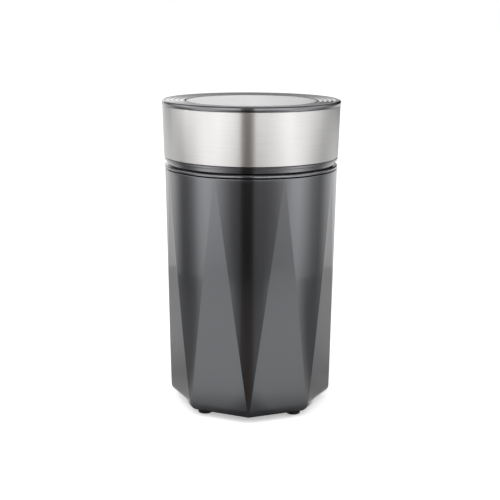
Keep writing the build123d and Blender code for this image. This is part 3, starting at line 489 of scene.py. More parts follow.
def cut_flats_tree():
    """Moves a grid on to a round wall that a ring of flats cuts, then cuts the cord slot."""
    tree, at = new_tree("Cut flats", ("Slot radius", "Slot height", "Slot reach"), ("Flats",))
    for name in ("wall radius", "flat distance", "sector", "across"):
        at[name] = add_node(tree, "GeometryNodeInputNamedAttribute", {"Name": name}, data_type="FLOAT")
    place = add_node(tree, "ShaderNodeSeparateXYZ", {0: add_node(tree, "GeometryNodeInputPosition")})
    for name, operation, *values in (
            ("pitch", "DIVIDE", 2 * math.pi, "Flats"),
            # Half the angle that a flat spans: to where its plane meets the wall, or its neighbour's plane
            ("ratio", "DIVIDE", "flat distance", "wall radius"),
            ("capped", "MINIMUM", "ratio", 1.0),
            ("meeting", "ARCCOSINE", "capped"),
            ("half pitch", "MULTIPLY", "pitch", 0.5),
            ("half", "MINIMUM", "meeting", "half pitch"),
            # The first half of a sector's columns crosses the flat, the second half the round wall beside it
            ("flat share", "MULTIPLY_ADD", "across", 4.0, -1.0),
            ("on flat", "MULTIPLY", "flat share", "half"),
            ("room", "MULTIPLY_ADD", "half", -2.0, "pitch"),
            ("wall share", "MULTIPLY_ADD", "across", 2.0, -1.0),
            ("on wall", "MULTIPLY_ADD", "wall share", "room", "half"),
            ("past", "GREATER_THAN", "across", 0.4999),
            ("step", "SUBTRACT", "on wall", "on flat"),
            ("turn", "MULTIPLY_ADD", "past", "step", "on flat"),
            ("span", "ABSOLUTE", "turn"),
            ("lean", "MINIMUM", "span", "half"),
            ("drop", "COSINE", "lean"),
            ("radius", "DIVIDE", "flat distance", "drop"),
            ("angle", "MULTIPLY_ADD", "sector", "pitch", "turn"),
            ("cosine", "COSINE", "angle"),
            ("sine", "SINE", "angle"),
            ("x", "MULTIPLY", "radius", "cosine"),
            ("y", "MULTIPLY", "radius", "sine"),
            ("slot width", "MULTIPLY", "Slot radius", 2.0),
            ("throat height", "MULTIPLY", "Slot height", 0.5)):
        inputs = {spot: at.get(value, value) for spot, value in enumerate(values)}
        at[name] = add_node(tree, "ShaderNodeMath", inputs, operation=operation)
    spot = add_node(tree, "ShaderNodeCombineXYZ", {0: at["x"], 1: at["y"], 2: place.outputs[2]})
    moved = add_node(tree, "GeometryNodeSetPosition", {"Geometry": at["Geometry"], "Position": spot})
    result = add_node(tree, "GeometryNodeMergeByDistance", {"Geometry": moved, "Distance": WELD})
    # The cord slot: a round end on a straight throat that opens at the foot
    round_end = add_node(tree, "GeometryNodeMeshCylinder", {
        "Vertices": 96, "Radius": at["Slot radius"], "Depth": at["Slot reach"]})
    throat_size = add_node(tree, "ShaderNodeCombineXYZ", {
        0: at["slot width"], 1: at["Slot reach"], 2: at["Slot height"]})
    throat = add_node(tree, "GeometryNodeMeshCube", {"Size": throat_size})
    for cutter, height, turn in ((round_end, "Slot height", math.pi / 2), (throat, "throat height", 0)):
        centre = add_node(tree, "ShaderNodeCombineXYZ", {1: at["Slot reach"], 2: at[height]})
        placed = add_node(tree, "GeometryNodeTransform", {
            "Geometry": cutter, "Translation": centre, "Rotation": (turn, 0, 0)})
        result = add_node(tree, "GeometryNodeMeshBoolean", {0: result, 1: placed},
                          operation="DIFFERENCE", solver="EXACT")
    end_tree(tree, result, at["Material"])
    return tree


def raise_ribs_tree():
    """Raises a ring's top into concentric round ribs between two radii, and dishes it towards its hole."""
    tree, at = new_tree("Raise ribs", ("Depth", "Dish", "Start", "End", "Level"), ("Ribs",))
    place = add_node(tree, "ShaderNodeSeparateXYZ", {0: add_node(tree, "GeometryNodeInputPosition")}).outputs
    flat_place = add_node(tree, "ShaderNodeCombineXYZ", {0: place[0], 1: place[1]})
    radius = add_node(tree, "ShaderNodeVectorMath", {0: flat_place}, operation="LENGTH").outputs["Value"]
    at["height"] = place[2]
    at["share"] = add_node(tree, "ShaderNodeMapRange", {
        "Value": radius, "From Min": at["Start"], "From Max": at["End"]})
    for name, operation, *values in (
            ("count", "MULTIPLY", "share", "Ribs"),
            ("phase", "FRACT", "count"),
            ("centred", "MULTIPLY_ADD", "phase", 2.0, -1.0),
            ("square", "MULTIPLY", "centred", "centred"),
            # A round crest between two sharp valleys
            ("rest", "SUBTRACT", 1.0, "square"),
            ("crown", "SQRT", "rest"),
            ("rise", "MULTIPLY", "crown", "Depth"),
            ("inward", "SUBTRACT", 1.0, "share"),
            ("drop", "MULTIPLY", "inward", "Dish"),
            ("lift", "SUBTRACT", "rise", "drop"),
            ("on top", "GREATER_THAN", "height", "Level")):
        inputs = {spot: at.get(value, value) for spot, value in enumerate(values)}
        at[name] = add_node(tree, "ShaderNodeMath", inputs, operation=operation)
    offset = add_node(tree, "ShaderNodeCombineXYZ", {2: at["lift"]})
    raised = add_node(tree, "GeometryNodeSetPosition", {
        "Geometry": at["Geometry"], "Selection": at["on top"], "Offset": offset})
    end_tree(tree, raised, at["Material"])
    return tree


def spread_round_tree():
    """Repeats one piece at even angles round the axis."""
    tree, at = new_tree("Spread round", ("Start",), ("Count",))
    points = add_node(tree, "GeometryNodePoints", {"Count": at["Count"]})
    index = add_node(tree, "GeometryNodeInputIndex")
    step = add_node(tree, "ShaderNodeMath", {0: 2 * math.pi, 1: at["Count"]}, operation="DIVIDE")
    turn = add_node(tree, "ShaderNodeMath", {0: index, 1: step, 2: at["Start"]}, operation="MULTIPLY_ADD")
    copies = add_node(tree, "GeometryNodeInstanceOnPoints", {
        "Points": points, "Instance": at["Geometry"],
        "Rotation": add_node(tree, "ShaderNodeCombineXYZ", {2: turn})})
    end_tree(tree, copies, at["Material"])
    return tree


def cross_recess_tree():
    """Cuts a cross recess into the underside of a screw's head."""
    tree, at = new_tree("Cross recess", ("Length", "Width", "Bar height", "Level"))
    result = at["Geometry"]
    centre = add_node(tree, "ShaderNodeCombineXYZ", {2: at["Level"]})
    for first, second in (("Length", "Width"), ("Width", "Length")):
        size = add_node(tree, "ShaderNodeCombineXYZ", {0: at[first], 1: at[second], 2: at["Bar height"]})
        bar = add_node(tree, "GeometryNodeMeshCube", {"Size": size})
        set_in = add_node(tree, "GeometryNodeTransform", {"Geometry": bar, "Translation": centre})
        result = add_node(tree, "GeometryNodeMeshBoolean", {0: result, 1: set_in},
                          operation="DIFFERENCE", solver="EXACT")
    end_tree(tree, result, at["Material"])
    return tree


def wind_wire_tree():
    """Winds a round wire into a coil up +Z."""
    tree, at = new_tree("Wind wire", ("Turns", "Coil radius", "Coil height", "Wire radius"))
    coil = add_node(tree, "GeometryNodeCurveSpiral", {
        "Resolution": 40, "Rotations": at["Turns"], "Start Radius": at["Coil radius"],
        "End Radius": at["Coil radius"], "Height": at["Coil height"]})
    section = add_node(tree, "GeometryNodeCurvePrimitiveCircle", {
        "Resolution": 12, "Radius": at["Wire radius"]})
    wire = add_node(tree, "GeometryNodeCurveToMesh", {
        "Curve": coil, "Profile Curve": section, "Fill Caps": True})
    end_tree(tree, wire, at["Material"])
    return tree


def shell_rows(sizes):
    """Closed outline of the shell: height, radius of the round wall and distance of the flats, row by row."""
    bottom, top, plate_top = shell_low.z, shell_high.z, feet_high.z
    ledge_top = plate_top + sizes.ledge
    round_top = bottom + sizes.foot_round_height
    corner = 1 / math.cos(math.pi / sizes.flats)
    edge_steps, wall_steps, foot_steps, inner_steps = 4, 64, 20, 24

    def wall(height):
        return sizes.foot_radius + (shell_high.x - sizes.foot_radius) * (height - bottom) / (top - bottom)

    def flat(height):
        return wall(height) - sizes.flat_depth * ((sizes.runout - height) / sizes.runout) ** 2

    rows = []
    for step in range(edge_steps + 1):
        tilt = math.pi / 2 * (1 - step / edge_steps)
        height = top - sizes.top_edge * (1 - math.sin(tilt))
        inset = sizes.top_edge * (1 - math.cos(tilt))
        rows.append((height, wall(height) - inset, flat(height) - inset))
    for step in range(1, wall_steps + 1):
        height = top - sizes.top_edge + (round_top - top + sizes.top_edge) * step / wall_steps
        rows.append((height, wall(height), flat(height)))
    # The flats turn in on an arc that leaves them without a kink
    rate = (flat(round_top) - flat(round_top - MM)) / MM
    inward = Vector((-1, rate)).normalized()
    start = Vector((flat(round_top), round_top))
    chord = Vector((-sizes.foot_round_inset, -sizes.foot_round_height))
    radius = chord.length_squared / (2 * chord.dot(inward))
    centre = start + inward * radius
    first = math.atan2(*reversed(start - centre))
    last = math.atan2(*reversed(start + chord - centre))
    for step in range(1, foot_steps + 1):
        angle = first + (last - first) * step / foot_steps
        place = centre + radius * Vector((math.cos(angle), math.sin(angle)))
        rows.append((place.y, wall(place.y), place.x))
    for height, distance in ((bottom, sizes.recess), (plate_top, sizes.recess), (plate_top, sizes.opening),
                             (ledge_top, sizes.opening)):
        rows.append((height, distance * corner, distance))
    for step in range(inner_steps + 1):
        height = ledge_top + (top - ledge_top) * step / inner_steps
        rows.append((height, wall(height) - sizes.wall, flat(height) - sizes.wall))
    return rows


def shell_grid(name, rows, flats, flat_columns=6, round_columns=22):
    """A closed grid of columns and rows that carries what the flats tree needs at each point."""
    shares = [0.5 * step / flat_columns for step in range(flat_columns)]
    shares += [0.5 + 0.5 * step / round_columns for step in range(round_columns)]
    columns = [(sector, across) for sector in range(flats) for across in shares]
    points = [(wall, flat, sector, across, height)
              for sector, across in columns for height, wall, flat in rows]
    count = len(rows)
    faces = []
    for column in range(len(columns)):
        here, there = column * count, (column + 1) % len(columns) * count
        for row in range(count):
            below = (row + 1) % count
            faces.append((here + row, here + below, there + below, there + row))
    mesh = bpy.data.meshes.new(name)
    mesh.from_pydata([(0, 0, point[-1]) for point in points], [], faces)
    for place, key in enumerate(("wall radius", "flat distance", "sector", "across")):
        numbers = [point[place] for point in points]
        mesh.attributes.new(key, "FLOAT", "POINT").data.foreach_set("value", numbers)
    return mesh


class GRINDER_OT_body(bpy.types.Operator):
    """Make the faceted body"""

    bl_idname = "grinder.body"
    bl_label = "Faceted body"

    def execute(self, context):
        sizes = context.scene.grinder_body
        grid = shell_grid("faceted_body", shell_rows(sizes), sizes.flats)
        mesh = grown(
            cut_flats_tree(), grid, flats=sizes.flats, slot_radius=sizes.slot_radius,
            slot_height=(gland_low.z + gland_high.z) / 2, slot_reach=sizes.foot_radius,
            material=finishes["graphite_body"])
        shape = opened(mesh)
        across = shape.verts.layers.float["across"]
        near = 0.001
        for edge in shape.edges:
            # The flats' side edges stay sharp up to where they fade out
            first, second = (vert[across] for vert in edge.verts)
            on_crease = abs(first - second) < near and min(abs(first), abs(first - 0.5)) < near
            edge.smooth = not on_crease and edge.calc_face_angle(0) < math.radians(25)
        for face in shape.faces:
            face.smooth = True
        shape.to_mesh(mesh)
        shape.free()
        place_piece("faceted_body", mesh, "graphite_body", "housing", "housing_shell")
        return {"FINISHED"}


class GRINDER_OT_band(bpy.types.Operator):
    """Make the brushed steel band of the lid"""

    bl_idname = "grinder.band"
    bl_label = "Steel band"

    def execute(self, context):
        sizes = context.scene.grinder_lid
        low, high, sheet = band_low.z, band_high.z, sizes.band_sheet
        foot_edge, top_edge, inner_edge = 0.2 * MM, 0.3 * MM, 0.1 * MM
        outline = softened([
            (sizes.band_foot_radius, low, foot_edge), (band_high.x, high, top_edge),
            (band_high.x - sheet, high, inner_edge), (sizes.band_foot_radius - sheet, low, inner_edge)])
        place_piece("steel_band", turned("steel_band", outline), "brushed_band", "lid", "lid_band")
        return {"FINISHED"}


class GRINDER_OT_ring(bpy.types.Operator):
    """Make the ribbed ring round the window"""

    bl_idname = "grinder.ring"
    bl_label = "Ribbed ring"

    def execute(self, context):
        sizes = context.scene.grinder_lid
        inner, outer, low, high = sizes.ring_inner, ring_high.x, ring_low.z, ring_high.z
        start, end, valley = inner + sizes.inner_land, outer - sizes.outer_land, high - sizes.rib_depth
        under_edge, land_edge, hole_edge = 0.5 * MM, 0.1 * MM, 0.3 * MM
        outline = softened([
            (inner, low, 0), (outer, low, under_edge), (outer, high, sizes.ring_round),
            (end, high, land_edge), (end, valley, 0), (start, valley, 0), (start, high, land_edge),
            (inner, high, hole_edge)], 8)
        # The rib floor gets enough points for the tree to raise
        steps = 14 * sizes.ribs
        edge = outline.index(Vector((end, valley))) + 1
        floor = [Vector((end + (start - end) * step / steps, valley)) for step in range(1, steps)]
        outline[edge:edge] = floor
        ribbed = grown(
            raise_ribs_tree(), turned("ribbed_ring", outline), ribs=sizes.ribs, depth=sizes.rib_depth,
            dish=sizes.ring_dish, start=start, end=end, level=(low + valley) / 2,
            material=finishes["gloss_graphite"])
        mesh = mesh_from("ribbed_ring", opened(ribbed), math.radians(40))
        place_piece("ribbed_ring", mesh, "gloss_graphite", "lid", "lid_ring")
        return {"FINISHED"}


class GRINDER_OT_lid(bpy.types.Operator):
    """Make the lacquered lid body with its lip and its tab over the plunger"""

    bl_idname = "grinder.lid"
    bl_label = "Lid body"

    def execute(self, context):
        sizes = context.scene.grinder_lid
        low, seat, top = lid_low.z, band_low.z, band_high.z
        foot, chamfer, backing = sizes.band_foot_radius, sizes.lip_chamfer, sizes.band_backing
        lip = foot - sizes.lip_inset
        ceiling, step = top - sizes.ceiling_depth, top - sizes.flange_depth
        room, hole, inside = sizes.flange_room, sizes.ceiling_hole, sizes.lid_inner
        shape = opened(turned("lacquered_lid", softened([
            (lip, low, sizes.lip_round), (lip, seat - chamfer, 0), (lip - chamfer, seat, 0),
            (foot - backing, seat, 0), (band_high.x - backing, top, 0), (room, top, 0), (room, step, 0),
            (hole, step, 0), (hole, ceiling, 0), (inside, ceiling, 0), (inside, low, 0)], 8)))
        # The tab is rooted in the ceiling and the wall, and steps down past the neck on to the plunger
        inner = (spring_low.y + spring_high.y - sizes.tab_thickness) / 2
        outer, wall, root = inner + sizes.tab_thickness, inside + sizes.lip_inset, ceiling + chamfer
        sole, neck = plunger_high.z, collar_high.z - press["range_m"][0] + sizes.tab_clearance
        side = [(inner, sole), (outer, sole), (outer, neck), (wall, neck), (wall, root), (inner, root)]
        half = sizes.tab_width / 2
        lofted(shape, [[(x, y, z) for y, z in side] for x in (-half, half)])
        mesh = mesh_from("lacquered_lid", shape, math.radians(30))
        place_piece("lacquered_lid", mesh, "gloss_graphite", "lid", "lid_body")
        return {"FINISHED"}


class GRINDER_OT_collar(bpy.types.Operator):
    """Smooth the lacquered collar, whose long thin faces would break the mirrored lines"""

    bl_idname = "grinder.collar"
    bl_label = "Collar"

    def execute(self, context):
        shape = opened(frame["nodes"]["collar"].data)
        smooth = mesh_from("lacquered_collar", shape, math.radians(30))
        holder, even = with_modifier(smooth, "WEIGHTED_NORMAL")
        even.keep_sharp = True
        place_piece("lacquered_collar", applied(holder), "gloss_graphite", "housing", "collar")
        return {"FINISHED"}


class GRINDER_OT_blade(bpy.types.Operator):
    """Make the two-tip blade with its ground edges"""

    bl_idname = "grinder.blade"
    bl_label = "Blade"

    def execute(self, context):
        sizes = context.scene.grinder_inside
        tip, flat_end = blade_high.x, blade_high.x - sizes.blade_tip_length
        middle = (blade_low.z + blade_high.z) / 2
        thick, bevel = sizes.blade_sheet / 2, sizes.blade_bevel
        bend, ground_share, count = 1.5 * MM, 0.7, 60
        sections = []
        for step in range(count + 1):
            along = -tip + 2 * tip * step / count
            past = max(0.0, abs(along) - flat_end)
            rise = sizes.blade_tip_rise / sizes.blade_tip_length
            lift = rise * (past ** 2 / (2 * bend) if past < bend else past - bend / 2)
            lift *= sizes.blade_tip_length / (sizes.blade_tip_length - bend / 2)
            centre = middle + math.copysign(lift, along)
            half = blade_high.y + (sizes.blade_tip_width / 2 - blade_high.y) * abs(along) / tip
            # Each arm is ground on the edge that leads as it turns, from the hub outwards
            reach = min(1.0, max(0.0, (abs(along) - sizes.blade_hub) / bend))
            ground = ground_share * sizes.blade_sheet * reach
            lead, trail = (ground, 0) if along > 0 else (0, ground)
            section = [(-half, -thick), (half, -thick), (half, thick - lead), (half - bevel, thick),
                       (bevel - half, thick), (-half, thick - trail)]
            sections.append([(along, y, centre + z) for y, z in section])
        shape = bmesh.new()
        lofted(shape, sections)
        mesh = mesh_from("two_tip_blade", shape, math.radians(12))
        place_piece("two_tip_blade", mesh, "polished_steel", "rotor", "blade")
        return {"FINISHED"}


class GRINDER_OT_spring(bpy.types.Operator):
    """Wind the return spring, which shortens as the lid is pressed"""

    bl_idname = "grinder.spring"
    bl_label = "Return spring"

    def execute(self, context):
        sizes = context.scene.grinder_inside
        middle = (spring_low + spring_high) / 2
        wire, height = sizes.spring_wire, spring_high.z - spring_low.z
        coil = grown(
            wind_wire_tree(), bpy.data.meshes.new("coiled_spring"), turns=float(sizes.spring_turns),
            coil_radius=(spring_high.x - spring_low.x - wire) / 2, coil_height=height - wire,
            wire_radius=wire / 2, material=finishes["plated_steel"])
        mesh = mesh_from("coiled_spring", opened(coil), math.radians(50))
        mesh.transform(Matrix.Translation((middle.x, middle.y, spring_low.z + wire / 2)))
        spring = place_piece("coiled_spring", mesh, "plated_steel", "housing", "return_spring")
        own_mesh(spring)
        return {"FINISHED"}


class GRINDER_OT_underside(bpy.types.Operator):
    """Make the rubber feet and the base screws"""

    bl_idname = "grinder.underside"
    bl_label = "Feet and base screws"

    def execute(self, context):
        sizes = context.scene.grinder_inside
        spread = spread_round_tree()
        eighth = math.pi / 8
        # A foot with a hollowed sole, on a stem through the base plate
        sole, top, stem = feet_low.z, plate_low.z, feet_high.z
        radius, hollow = sizes.foot_radius, 0.4 * MM
        hollow_end, sole_start, stem_radius = radius * 0.5, radius * 0.58, radius * 0.55
        hollow_edge, sole_edge, top_edge = 0.2 * MM, 0.6 * MM, 0.15 * MM
        foot = turned("rubber_feet_round", softened([
            (0, sole + hollow, 0), (hollow_end, sole + hollow, hollow_edge), (sole_start, sole, hollow_edge),
            (radius, sole, sole_edge), (radius, top, top_edge), (stem_radius, top, 0), (stem_radius, stem, 0),
            (0, stem, 0)]), 72)
        foot.transform(Matrix.Translation((sizes.foot_circle, 0, 0)))
        feet = grown(spread, foot, count=4, start=-eighth, material=finishes["black_rubber"])
        place_piece("rubber_feet_round", feet, "black_rubber", "housing", "rubber_feet")
        # A pan-head screw with a blunt point
        head, shank, low, end = sizes.screw_head, sizes.screw_shank, screws_low.z, screws_high.z
        neck, point_length, point_radius = low + 1.55 * MM, 1.2 * MM, 0.2 * MM
        head_edge, neck_edge = 0.45 * MM, 0.1 * MM
        screw = turned("cross_screws", softened([
            (0, low, 0), (head, low, head_edge), (head, neck, neck_edge), (shank, neck, 0),
            (shank, end - point_length, 0), (point_radius, end, 0), (0, end, 0)]), 48)
        screw = grown(cross_recess_tree(), screw, length=2.9 * MM, width=0.75 * MM, bar_height=1.8 * MM,
                      level=low, material=finishes["plated_steel"])
        screw.transform(Matrix.Translation((sizes.screw_circle, 0, 0)))
        screws = grown(spread, screw, count=4, start=eighth, material=finishes["plated_steel"])
        place_piece("cross_screws", screws, "plated_steel", "housing", "base_screws")
        return {"FINISHED"}


class GRINDER_OT_gland(bpy.types.Operator):
    """Make the rubber cord gland"""

    bl_idname = "grinder.gland"
    bl_label = "Cord gland"

    def execute(self, context):
        sizes = context.scene.grinder_inside
        inner, outer, rim = gland_low.y, gland_high.y, gland_high.x
        bore, body, flange = sizes.gland_bore, sizes.gland_radius, sizes.gland_flange
        bore_edge, rim_edge, flange_edge = 0.35 * MM, 0.45 * MM, 0.15 * MM
        outline = softened([
            (bore, outer, bore_edge), (rim, outer, rim_edge), (rim, outer - flange, flange_edge),
            (body, outer - flange, 0), (body, inner + flange, 0), (rim, inner + flange, flange_edge),
            (rim, inner, rim_edge), (bore, inner, bore_edge)])
        mesh = turned("cord_bush", outline, 96)
        # Turned about +Z, then laid along +Y at the gland's height
        mesh.transform(Matrix.Translation((0, 0, (gland_low.z + gland_high.z) / 2))
                       @ Matrix.Rotation(-math.pi / 2, 4, "X"))
        place_piece("cord_bush", mesh, "black_rubber", "housing", "cord_gland")
        return {"FINISHED"}


class GRINDER_OT_finishes(bpy.types.Operator):
    """Give every carried-over CAD node its finish"""

    bl_idname = "grinder.finishes"
    bl_label = "Finishes"

    def execute(self, context):
        finishes.update(make_finishes(context.scene))
        for subpart in frame["record"]["subparts"]:
            node = frame["nodes"][subpart["node"]]
            if not node.material_slots:
                raise RuntimeError(f"{subpart['node']} has no material slot")
            for slot in node.material_slots:
                slot.material = finishes[subpart["material_slot"]]
        return {"FINISHED"}


class GRINDER_OT_stage(bpy.types.Operator):
    """Set the floor, the studio light and the camera"""

    bl_idname = "grinder.stage"
    bl_label = "Stage"

    def execute(self, context):
        scene = context.scene
        settings = scene.grinder_stage
        scene.view_settings.view_transform = "Standard"
        self.set_camera(scene, settings)
        self.set_world(scene, settings)
        self.set_floor(scene)
        self.set_tent(scene, settings)
        self.set_painted_reflections(scene, settings)
        return {"FINISHED"}

    def set_camera(self, scene, settings):
        lens = bpy.data.cameras.new("photo_camera")
        lens.sensor_fit = "HORIZONTAL"
        lens.sensor_width = 36
        lens.lens = settings.lens
        camera = bpy.data.objects.new("photo_camera", lens)
        scene.collection.objects.link(camera)
        sine, cosine = math.sin(settings.bearing), math.cos(settings.bearing)
        place = Vector((settings.sideways * cosine + settings.distance * sine,
                        settings.sideways * sine - settings.distance * cosine, settings.height))
        camera.matrix_world = (Matrix.Translation(place) @ Matrix.Rotation(settings.bearing, 4, "Z")
                               @ Matrix.Rotation(math.pi / 2 - settings.pitch, 4, "X")
                               @ Matrix.Rotation(settings.roll, 4, "Z"))
        scene.camera = camera

    def set_world(self, scene, settings):
        """A white room that lights a little less than it shows."""
        world = bpy.data.worlds.new("studio")
        scene.world = world
        world.use_nodes = True
        tree = world.node_tree
        tree.nodes.clear()
        room_level = 0.8
        roof = add_node(tree, "ShaderNodeBackground", {0: WHITE, 1: room_level * settings.light})
        white = add_node(tree, "ShaderNodeBackground", {0: WHITE, 1: 1.0})
        mixed = add_node(tree, "ShaderNodeMixShader", {0: self.seen_directly(tree), 1: roof, 2: white})
        add_node(tree, "ShaderNodeOutputWorld", {0: mixed})

    def seen_directly(self, tree):
        """One for rays from the camera, off gloss or through clear surfaces, and nothing for the rest."""
        paths = add_node(tree, "ShaderNodeLightPath").outputs
        seen = paths["Is Camera Ray"]
        for other in ("Is Glossy Ray", "Is Transmission Ray"):
            seen = add_node(tree, "ShaderNodeMath", {0: seen, 1: paths[other]}, operation="MAXIMUM")
        return seen

    def bearing_levels(self, tree, settings, *tables):
        """The place, and for each table of angles from the camera and levels its share at that bearing."""
        place = add_node(tree, "ShaderNodeTexCoord").outputs["Object"]
        sine, cosine = math.sin(settings.bearing), math.cos(settings.bearing)
        side, front = (
            add_node(tree, "ShaderNodeVectorMath", {0: place, 1: way},
                     operation="DOT_PRODUCT").outputs["Value"]
            for way in ((cosine, sine, 0), (sine, -cosine, 0)))
        bearing = add_node(tree, "ShaderNodeMath", {0: side, 1: front}, operation="ARCTAN2")
        share = add_node(tree, "ShaderNodeMath", {0: bearing, 1: 0.5 / math.pi, 2: 0.5},
                         operation="MULTIPLY_ADD")
        levels = []
        for table in tables:
            ramp = add_node(tree, "ShaderNodeValToRGB", {0: share})
            stops = ramp.color_ramp.elements
            while len(stops) < len(table):
                stops.new(0.5)
            for stop, (angle, level) in zip(stops, table):
                stop.position = angle / 360 + 0.5
                tint = SLIT_TINT if SLIT[0] < angle < SLIT[1] else WHITE[:3]
                stop.color = opaque([level / TOP_LEVEL * part for part in tint])
            levels.append(ramp.outputs[0])
        return place, levels

    def set_floor(self, scene):
        """A pale floor that shows white where it is lit and keeps the object's shadow."""
        material, tree = new_material("pale_floor")
        own_light, reach = 0.45, 8
        matt = add_node(tree, "ShaderNodeBsdfDiffuse", {"Color": (0.8, 0.8, 0.8, 1)})
        seen = self.seen_directly(tree)
        lift = add_node(tree, "ShaderNodeMath", {0: seen, 1: own_light}, operation="MULTIPLY")
        glow = add_node(tree, "ShaderNodeEmission", {"Color": WHITE, "Strength": lift})
        both = add_node(tree, "ShaderNodeAddShader", {0: matt, 1: glow})
        # Clear from below, so that the underside can be looked at
        below = add_node(tree, "ShaderNodeNewGeometry").outputs["Backfacing"]
        clear = add_node(tree, "ShaderNodeBsdfTransparent")
        sided = add_node(tree, "ShaderNodeMixShader", {0: below, 1: both, 2: clear})
        add_node(tree, "ShaderNodeOutputMaterial", {"Surface": sided})
        shape = bmesh.new()
        bmesh.ops.create_circle(shape, cap_ends=True, segments=96, radius=reach)
        self.put_up(scene, "pale_floor", shape, material)

    def set_tent(self, scene, settings):
        """A light tent round the table, with a soft box each side of the slit that the lens looks through."""
        material, tree = new_material("light_tent")
        # Angles from the camera and levels of the panels below and above their seam
        lower = [(-180, 0.35), (-160, 0.5), (-148, 0.85), (-132, 0.95), (-117, 1.0), (-107, 0.7), (-98, 0.35),
                 (-88, 0.38), (-78, 0.7), (-67, 1.65), (-56, 2.0), (-45, 1.6), (-34, 0.9), (-23, 0.4),
                 (-12.3, 0.25), (-11.7, 0.03), (2.7, 0.03), (3.3, 0.4), (18, 0.38), (30, 0.55), (42, 1.1),
                 (52, 1.85), (62, 2.0), (72, 1.45), (84, 0.75), (98, 0.42), (112, 0.85), (128, 1.0),
                 (150, 0.8), (162, 0.5), (180, 0.35)]
        upper = [(-180, 1.0), (-143, 0.9), (-141, 0.2), (-138, 0.2), (-136, 0.4), (-127, 0.4), (-125, 0.1),
                 (-122, 0.2), (-105, 1.2), (-85, 2.5), (-68, 2.0), (-52, 1.75), (-38, 2.8), (-24, 2.9),
                 (-12.3, 2.8), (-11.7, 0.3), (2.7, 0.3), (3.3, 2.8), (21, 2.3), (32, 2.7), (44, 2.7),
                 (58, 1.5), (74, 1.8), (92, 1.6), (114, 0.3), (137, 0.0), (160, 0.0), (172, 0.8), (180, 1.0)]
        seam, roof, roof_share = (0.134, 0.142), (0.22, 0.36), 0.12
        box_height, foot_share = 0.075, 0.7
        place, levels = self.bearing_levels(tree, settings, lower, upper)
        height = add_node(tree, "ShaderNodeSeparateXYZ", {0: place}).outputs[2]
        rise, dim = (
            add_node(tree, "ShaderNodeMapRange", {"Value": height, "From Min": start, "From Max": end})
            for start, end in (seam, roof))
        wall = add_node(tree, "ShaderNodeMix", {0: rise, 6: levels[0], 7: levels[1]}, data_type="RGBA")
        # Mirrored surfaces see the tent grow dim towards its roof
        mirrored = add_node(tree, "ShaderNodeLightPath").outputs["Is Glossy Ray"]
        fade = add_node(tree, "ShaderNodeMath", {0: dim, 1: mirrored}, operation="MULTIPLY")
        light = add_node(tree, "ShaderNodeMix", {0: fade, 6: wall.outputs[2], 7: opaque([roof_share] * 3)},
                         data_type="RGBA")
        # The soft boxes stand a little over the table, so their light falls off towards it
        full = TOP_LEVEL * settings.light
        level = add_node(tree, "ShaderNodeMapRange", {
            "Value": height, "From Max": box_height, "To Min": foot_share * full, "To Max": full})
        glow = add_node(tree, "ShaderNodeEmission", {"Color": light.outputs[2], "Strength": level})
        add_node(tree, "ShaderNodeOutputMaterial", {"Surface": glow})
        shape = bmesh.new()
        bmesh.ops.create_cone(shape, cap_ends=False, segments=180, radius1=TENT, radius2=TENT, depth=2 * TENT,
                              matrix=Matrix.Translation((0, 0, TENT)))
        bmesh.ops.create_circle(shape, cap_ends=True, segments=96, radius=TENT,
                                matrix=Matrix.Translation((0, 0, 2 * TENT)))
        self.put_up(scene, "light_tent", shape, material, ("camera", "transmission", "shadow"))

    def set_painted_reflections(self, scene, settings):
        """Painted reflections: white, grey and black cards on the table that only mirrored rays see, for the
        body's flats to mirror.
        """
        material, tree = new_material("table_cards")
        # Angles from the camera and tones of the cards: the painted reflection of the table that the body's
        # flats show
        painted_reflection_tones = [(-180, 0.47), (-128, 0.45), (-112, 0.33), (-94, 0.26), (-76, 0.26), (-60, 0.79), (-26, 0.79),
                 (-17, 0.35), (-12.3, 0.3), (-11.7, 0.1), (2.7, 0.1), (3.3, 0.3), (15, 0.35), (24, 0.79),
                 (60, 0.79), (76, 0.26), (92, 0.26), (104, 0.38), (112, 0.38), (128, 0.5), (180, 0.47)]
        # Close to the foot the cards are painted darker in front, a painted shade on top of the body's real
        # shadow, and painted far brighter at the sides, a painted glint
        shade = [(-180, 0.5), (-72, 0.5), (-55, 0.17), (55, 0.17), (72, 0.5), (180, 0.5)]
        painted_glint = [(-180, 1.6), (-72, 1.6), (-55, 0.13), (55, 0.13), (72, 1.6), (180, 1.6)]
        painted_glint_end, painted_shade_end, inner = (0.041, 0.0445), (0.035, 0.07), 0.02
        tables = ([(angle, TOP_LEVEL * tone) for angle, tone in table] for table in (painted_reflection_tones, shade, painted_glint))
        place, levels = self.bearing_levels(tree, settings, *tables)
        reach = add_node(tree, "ShaderNodeVectorMath", {0: place}, operation="LENGTH").outputs["Value"]
        tone = levels[2]
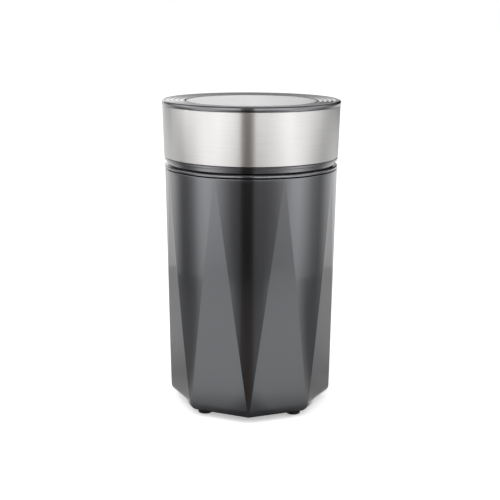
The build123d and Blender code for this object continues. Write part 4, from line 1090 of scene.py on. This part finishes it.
        # Going out from the foot, the cards turn from the painted glint to the painted shade, then to their
        # painted reflection tones
        for level, (start, end) in ((levels[1], painted_glint_end), (levels[0], painted_shade_end)):
            out = add_node(tree, "ShaderNodeMapRange", {"Value": reach, "From Min": start, "From Max": end})
            tone = add_node(tree, "ShaderNodeMix", {0: out, 6: tone, 7: level}, data_type="RGBA").outputs[2]
        matt = add_node(tree, "ShaderNodeBsdfDiffuse", {"Color": tone})
        add_node(tree, "ShaderNodeOutputMaterial", {"Surface": matt})
        shape = bmesh.new()
        turns = [math.radians(2 * step) for step in range(180)]
        near, far = (
            [shape.verts.new((radius * math.cos(turn), radius * math.sin(turn), MM)) for turn in turns]
            for radius in (inner, TENT))
        for step in range(len(turns)):
            shape.faces.new((near[step - 1], far[step - 1], far[step], near[step]))
        self.put_up(scene, "table_cards", shape, material, ("camera", "diffuse", "transmission", "shadow"))

    def put_up(self, scene, name, shape, material, hidden_from=()):
        """Puts a bmesh in the scene as a piece of the stage, hidden from some kinds of rays."""
        mesh = bpy.data.meshes.new(name)
        shape.to_mesh(mesh)
        shape.free()
        mesh.materials.append(material)
        prop = bpy.data.objects.new(name, mesh)
        scene.collection.objects.link(prop)
        for ray in hidden_from:
            setattr(prop, "visible_" + ray, False)


class GRINDER_PT_panel(bpy.types.Panel):
    """Lists the grinder's sizes and the steps that make it"""

    bl_idname = "GRINDER_PT_panel"
    bl_label = "Coffee grinder"
    bl_space_type = "VIEW_3D"
    bl_region_type = "UI"
    bl_category = "Grinder"

    def draw(self, context):
        for group in groups:
            sizes = getattr(context.scene, group)
            box = self.layout.box()
            for key in sizes.__annotations__:
                box.prop(sizes, key)
        for operator in operators:
            self.layout.operator(operator.bl_idname)


groups = {"grinder_body": BodySizes, "grinder_lid": LidSizes, "grinder_inside": InnerSizes,
          "grinder_stage": StageSettings}
operators = (GRINDER_OT_finishes, GRINDER_OT_body, GRINDER_OT_band, GRINDER_OT_ring, GRINDER_OT_lid,
             GRINDER_OT_collar, GRINDER_OT_blade, GRINDER_OT_spring, GRINDER_OT_underside, GRINDER_OT_gland,
             GRINDER_OT_stage)
classes = (*groups.values(), *operators, GRINDER_PT_panel)
finishes = {}


def register():
    for cls in classes:
        bpy.utils.register_class(cls)
    for key, cls in groups.items():
        setattr(bpy.types.Scene, key, PointerProperty(type=cls))


def unregister():
    for key in groups:
        delattr(bpy.types.Scene, key)
    for cls in reversed(classes):
        bpy.utils.unregister_class(cls)


def main():
    register()
    bpy.ops.grinder.finishes()
    bpy.ops.grinder.body()
    bpy.ops.grinder.band()
    bpy.ops.grinder.ring()
    bpy.ops.grinder.lid()
    bpy.ops.grinder.collar()
    bpy.ops.grinder.blade()
    bpy.ops.grinder.spring()
    bpy.ops.grinder.underside()
    bpy.ops.grinder.gland()
    bpy.ops.grinder.stage()


if __name__ == "__main__":
    main()
